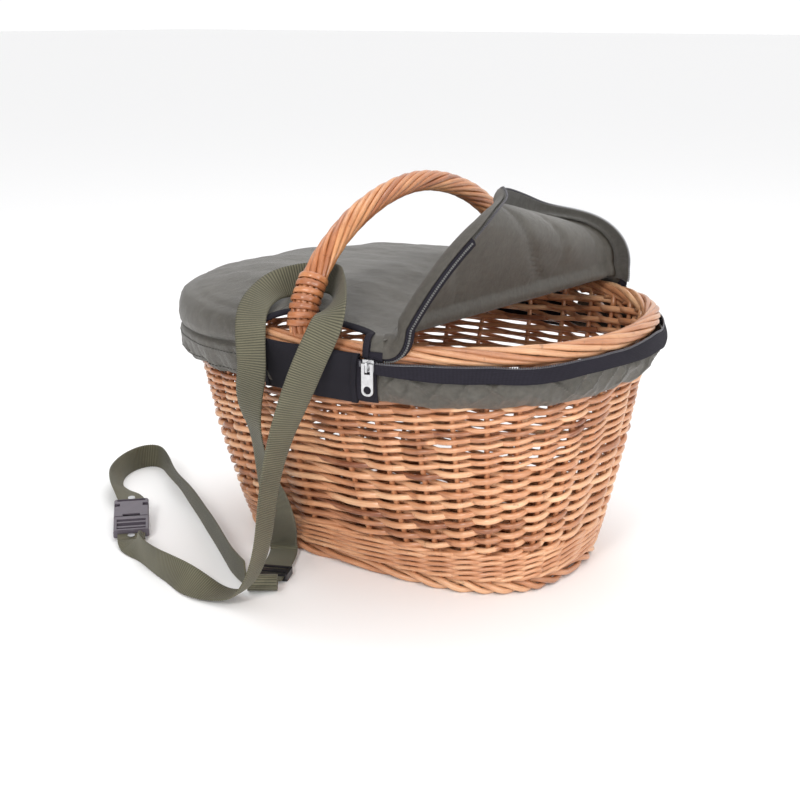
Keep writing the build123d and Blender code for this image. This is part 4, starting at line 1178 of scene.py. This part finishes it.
def flap_piece(name, pairs, blend_from, blend_to, node_names):
    g = np.array([flap_flat(tf, tb) for tf, tb in pairs])
    g = flap_wrinkle(g)
    uvs = uv_of(g)
    r = folded(g)
    bt = Batch()
    bt.add(r.reshape(-1, 3), grid_faces(g.shape[0], g.shape[1]), uvs.reshape(-1, 2))
    ob = bt.make(name, M_CLOTH, None, ())
    bpy.context.view_layer.update()
    md = ob.modifiers.new("thick", "SOLIDIFY")
    md.thickness = 0.0008
    md.offset = -1
    md.use_rim = False
    ob.data.materials.append(M_INSIDE)
    md.material_offset = 1
    md.material_offset_rim = 0
    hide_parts(*node_names)
    return ob


def blend_a(ob):
    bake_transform(ob)


def blend_b(ob):
    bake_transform(ob)


u = np.r_[np.linspace(0, 0.25, 26)[:-1], np.linspace(0.25, 1, 44)]
pa = [(t1f + (t2f - t1f) * k, t1b + (t2b - t1b) * k) for k in u]
flap = flap_piece("lid_flap_cloth", pa, None, None, ("lid_flap",))
blend_a(flap)
u = np.linspace(0, 1, 64)
u = 1 - (1 - u) ** 1.6
pb = [(t2f + (tm - t2f) * k, t2b + (tm - t2b) * k) for k in u]
lend = flap_piece("lid_end_cloth", pb, None, None, ("lid_end",))
blend_b(lend)


def edge_strip(name, ts_list, cols, mat, node, blender, thick=0.0008, make_teeth=False):
    """a strip along the lid's edge, inside of the cloth. cols: (offset, height) pairs"""
    bt = Batch()
    for ts in ts_list:
        g = np.array([lid_pt(ts, o, z) for o, z in cols])
        base = lid_pt(ts, 0, 230)
        s_ = np.r_[0, np.cumsum(np.linalg.norm(np.diff(base, axis=0), axis=1))]
        if make_teeth:
            line = folded(lid_pt(ts, cols[0][0], cols[0][1]))
            u_ = folded(lid_pt(ts, cols[0][0], cols[0][1])) - folded(lid_pt(ts, cols[1][0], cols[1][1]))
            n_ = np.cross(unit(np.gradient(line, axis=0)), unit(u_))
            teeth(bt, line, u_, n_)
        else:
            r = folded(g)
            wd = np.r_[0, np.cumsum(np.linalg.norm(np.diff(np.array(cols), axis=0), axis=1))]
            uv = np.stack([np.broadcast_to(s_, g.shape[:2]), np.broadcast_to(wd[:, None], g.shape[:2])], -1)
            bt.add(r.reshape(-1, 3), grid_faces(g.shape[0], g.shape[1]), uv.reshape(-1, 2))
    ob = bt.make(name, mat, None, ())
    if not make_teeth:
        md = ob.modifiers.new("thick", "SOLIDIFY")
        md.thickness = thick
        md.offset = 0
    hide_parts(node)
    blender(ob)
    return ob


TAPE_COLS = [(3.4, 226.9), (5.4, 224.9), (7.2, 222.4), (8.4, 219.4), (8.9, 216.4), (9.1, 214.9)]
TEETH_COLS = [(9.5, 214.2), (9.1, 216.4)]
TAPE_FRONT = [(7.6, 222.4), (8.7, 218.6), (9.2, 215.6), (8.6, 214.3), (6.4, 213.6), (3.4, 213.8)]
TEETH_FRONT = [(8.4, 213.4), (9.0, 215.6)]
sa = [np.linspace(t1f, t2f, 160), np.linspace(t2b, t1b, 160)]
sb = [np.linspace(t2f, t2b, 360)]
edge_strip("zip_tape_lid_flap", sa, TAPE_FRONT, M_TAPE, "zip_tape_flap", blend_a)
edge_strip("zip_tape_lid_end", sb, TAPE_COLS, M_HEM, "zip_tape_end", blend_b)
# the flap's teeth get the lighter coil colour, a painted highlight
edge_strip("zip_teeth_lid_flap", sa, TEETH_FRONT, M_COIL_PAINTED_HIGHLIGHT, "zip_coil_flap", blend_a, make_teeth=True)
edge_strip("zip_teeth_lid_end", sb, TEETH_COLS, M_COIL, "zip_coil_end", blend_b, make_teeth=True)

# ------------------------------------------------------------------ black webbing panels and bindings
def lean(z):
    """the panels' sides slope a little toward the foot"""
    return 13.0 * (1 - np.clip((z - 174.0) / 45.0, 0, 1))


def panel(name, sy, node):
    x_all = np.linspace(-20, 71, 92)
    rows = []
    prof = [(178.5, 3.9), (175.6, 3.9), (174.2, 4.8), (174.6, 6.0)]
    prof += [(zz, float(np.interp(zz, (174, 190, 210, 219), (5.8, 9.9, 12.6, 12.6)))) for zz in np.linspace(175.5, 217.5, 24)]
    prof += [(218.8, 12.2), (219.3, 11.2), (218.9, 10.2), (216.5, 9.8), (212.0, 9.8)]
    for z, o in prof:
        a, b, n, cx, cy = wall_axes(min(z, 218.0))
        xs = x_all - lean(z)
        y = cy + sy * (b + o) * (1 - np.abs((xs - cx) / (a + o)) ** n) ** (1 / n)
        rows.append(np.stack([xs, y, np.full_like(xs, z) + 0.35 * noise2(xs / 22.0, xs * 0 + 2 + sy, 3)], -1))
    g = np.array(rows)
    wd = np.r_[0, np.cumsum(np.linalg.norm(np.diff(g[:, 45], axis=0), axis=1))]
    uv = np.stack([np.broadcast_to(x_all, g.shape[:2]), np.broadcast_to(wd[:, None], g.shape[:2])], -1)
    bt = Batch()
    bt.add(g.reshape(-1, 3), grid_faces(g.shape[0], g.shape[1], flip=(sy > 0)), uv.reshape(-1, 2))
    # turned edge tape along the top and down the outer sides
    for x0, x1 in ((-20.2, -15.8), (66.6, 71.2)):
        x_strip = np.linspace(x0, x1, 6)
        rws = []
        for z, o in prof[3:-3]:
            xx = x_strip - lean(z)
            a, b, n, cx, cy = wall_axes(min(z, 218.0))
            o2 = o + 0.9
            y = cy + sy * (b + o2) * (1 - np.abs((xx - cx) / (a + o2)) ** n) ** (1 / n)
            rws.append(np.stack([xx, y, np.full_like(xx, z)], -1))
        g2 = np.array(rws)
        bt.add(g2.reshape(-1, 3), grid_faces(g2.shape[0], 6, flip=(sy > 0)), uv_of(g2).reshape(-1, 2))
    ob = bt.make(name, M_BLACK, "root", (node,))
    md = ob.modifiers.new("thick", "SOLIDIFY")
    md.thickness = 0.0009
    md.offset = -1
    return ob


panel("handle_panel_webbing_front", -1, "handle_panel_front")
panel("handle_panel_webbing_back", 1, "handle_panel_back")


def notch_tape(name, lo_a, hi_a, sy, node):
    """binding tape that wraps the cut edge of the lid round a handle foot"""
    al_n = np.linspace(lo_a, hi_a, 17)
    arc_e = notch_edge(al_n, (lo_a + hi_a) / 2)
    z = top_z(arc_e[:, 0], arc_e[:, 1])
    pts = [(*ray_to_rim(np.array([lo_a]), o)[0], zz) for o, zz in ((10.4, 216.0), (10.2, 222.0), (7.6, 228.2), (3.0, 231.4))]
    pts += [(x, y, zz + 0.3) for (x, y), zz in zip(arc_e, z)]
    pts += [(*ray_to_rim(np.array([hi_a]), o)[0], zz) for o, zz in ((3.0, 231.4), (7.6, 228.2), (10.2, 222.0), (10.4, 216.0))]
    line = nurbs_line(pts, 10)
    line, q = resample(line, 2.0)
    d = unit(np.gradient(line, axis=0))
    away = np.concatenate([line[:, :2] - np.array([25.0, sy * 175.0]), line[:, :1] * 0], 1)
    w = unit(away - d * (away * d).sum(-1, keepdims=True))
    h = np.cross(d, w)
    h *= np.sign(h[:, 2:] + 1e-9)
    sec = [(-4.5, -1.1), (-2.5, -1.3), (0.2, -1.2), (1.0, -0.7), (1.3, 0.0), (1.0, 0.7), (0.2, 1.2), (-2.5, 1.4), (-4.5, 1.1)]
    g = np.array([line - w * x + h * y_ for x, y_ in sec])
    bt = Batch()
    uv = np.stack([np.broadcast_to(q, g.shape[:2]), np.broadcast_to(np.linspace(0, 14, 9)[:, None], g.shape[:2])], -1)
    bt.add(g.reshape(-1, 3), grid_faces(g.shape[0], g.shape[1]), uv.reshape(-1, 2))
    ob = bt.make(name, M_TAPE, "root", (node,))
    md = ob.modifiers.new("thick", "SOLIDIFY")
    md.thickness = 0.0008
    md.offset = 0
    return ob


notch_tape("lid_notch_tape_front", a_f0, a_f1, -1, "notch_binding_front")
notch_tape("lid_notch_tape_back", a_b1, a_b0, 1, "notch_binding_back")

# upright binding on the skirt's front edge, behind the puller
bt = Batch()
x_all = np.linspace(71.2, 87.0, 14)
rows = []
for z in np.linspace(177.4, 214.5, 20):
    xs = x_all - lean(z) * np.linspace(1.0, 0.85, 14)
    g_ = max(0.0, (z - 178.0) / 35.0) ** 0.75
    a, b, n, cx, cy = wall_axes(178.0)
    A_, B_ = (a + 5.4) * (1 - g_) + (RIM_A + 11.4) * g_, (b + 5.4) * (1 - g_) + (RIM_B + 11.4) * g_
    n_ = n * (1 - g_) + RIM_N * g_
    y = -B_ * (1 - np.abs(xs / A_) ** n_) ** (1 / n_)
    rows.append(np.stack([xs, y - 0.6 * np.sin((x_all - 71.2) / 15.8 * np.pi), np.full_like(xs, z)], -1))
g = np.array(rows)
bt.add(g.reshape(-1, 3), grid_faces(20, 14), np.stack([np.broadcast_to(x_all, g.shape[:2]), g[..., 2]], -1).reshape(-1, 2))
ob = bt.make("skirt_front_binding", M_TAPE, "root", ())
md = ob.modifiers.new("thick", "SOLIDIFY")
md.thickness = 0.0009
md.offset = 0


# ------------------------------------------------------------------ stitching
def stitches(bt, line, normal, length=3.0, gap=1.4, r=0.32):
    s_ = np.r_[0, np.cumsum(np.linalg.norm(np.diff(line, axis=0), axis=1))]
    q = 2.0
    while q + length < s_[-1] - 1:
        k = np.linspace(q, q + length, 6)
        p = np.stack([np.interp(k, s_, line[:, c]) for c in range(3)], -1)
        nn = np.stack([np.interp(k, s_, normal[:, c]) for c in range(3)], -1)
        p = p + unit(nn) * (0.25 * np.sin(np.linspace(0, np.pi, 6)))[:, None]
        v, f, uv = tube(p, r * np.array([0.5, 0.9, 1, 1, 0.9, 0.5]), nn, 6)
        bt.add(v, f, uv)
        q += length + gap


bt = Batch()
sk, arc, br = hem_left
row_ = sk[6]
nrm = np.concatenate([unit(row_[:, :2] - M0), row_[:, :1] * 0], 1)
stitches(bt, row_ + nrm * 0.2, nrm)
row_ = sk[15]
stitches(bt, row_ + nrm * 0.2, nrm)
bt.make("cover_stitching", M_THREAD, "root")

# ------------------------------------------------------------------ finishes of the CAD nodes that stay
for names, mat in ((("zip_slider", "zip_puller", "buckle_rivet_female", "buckle_rivet_male"), M_METAL),
                   (("buckle_female", "buckle_male"), M_BUCKLE), (("strap_adjuster",), M_ADJ), (("zip_stop",), M_COIL),
                   (("strap_end_male",), M_STRAP)):
    for nm in names:
        N[nm].data.materials.clear()
        N[nm].data.materials.append(mat)
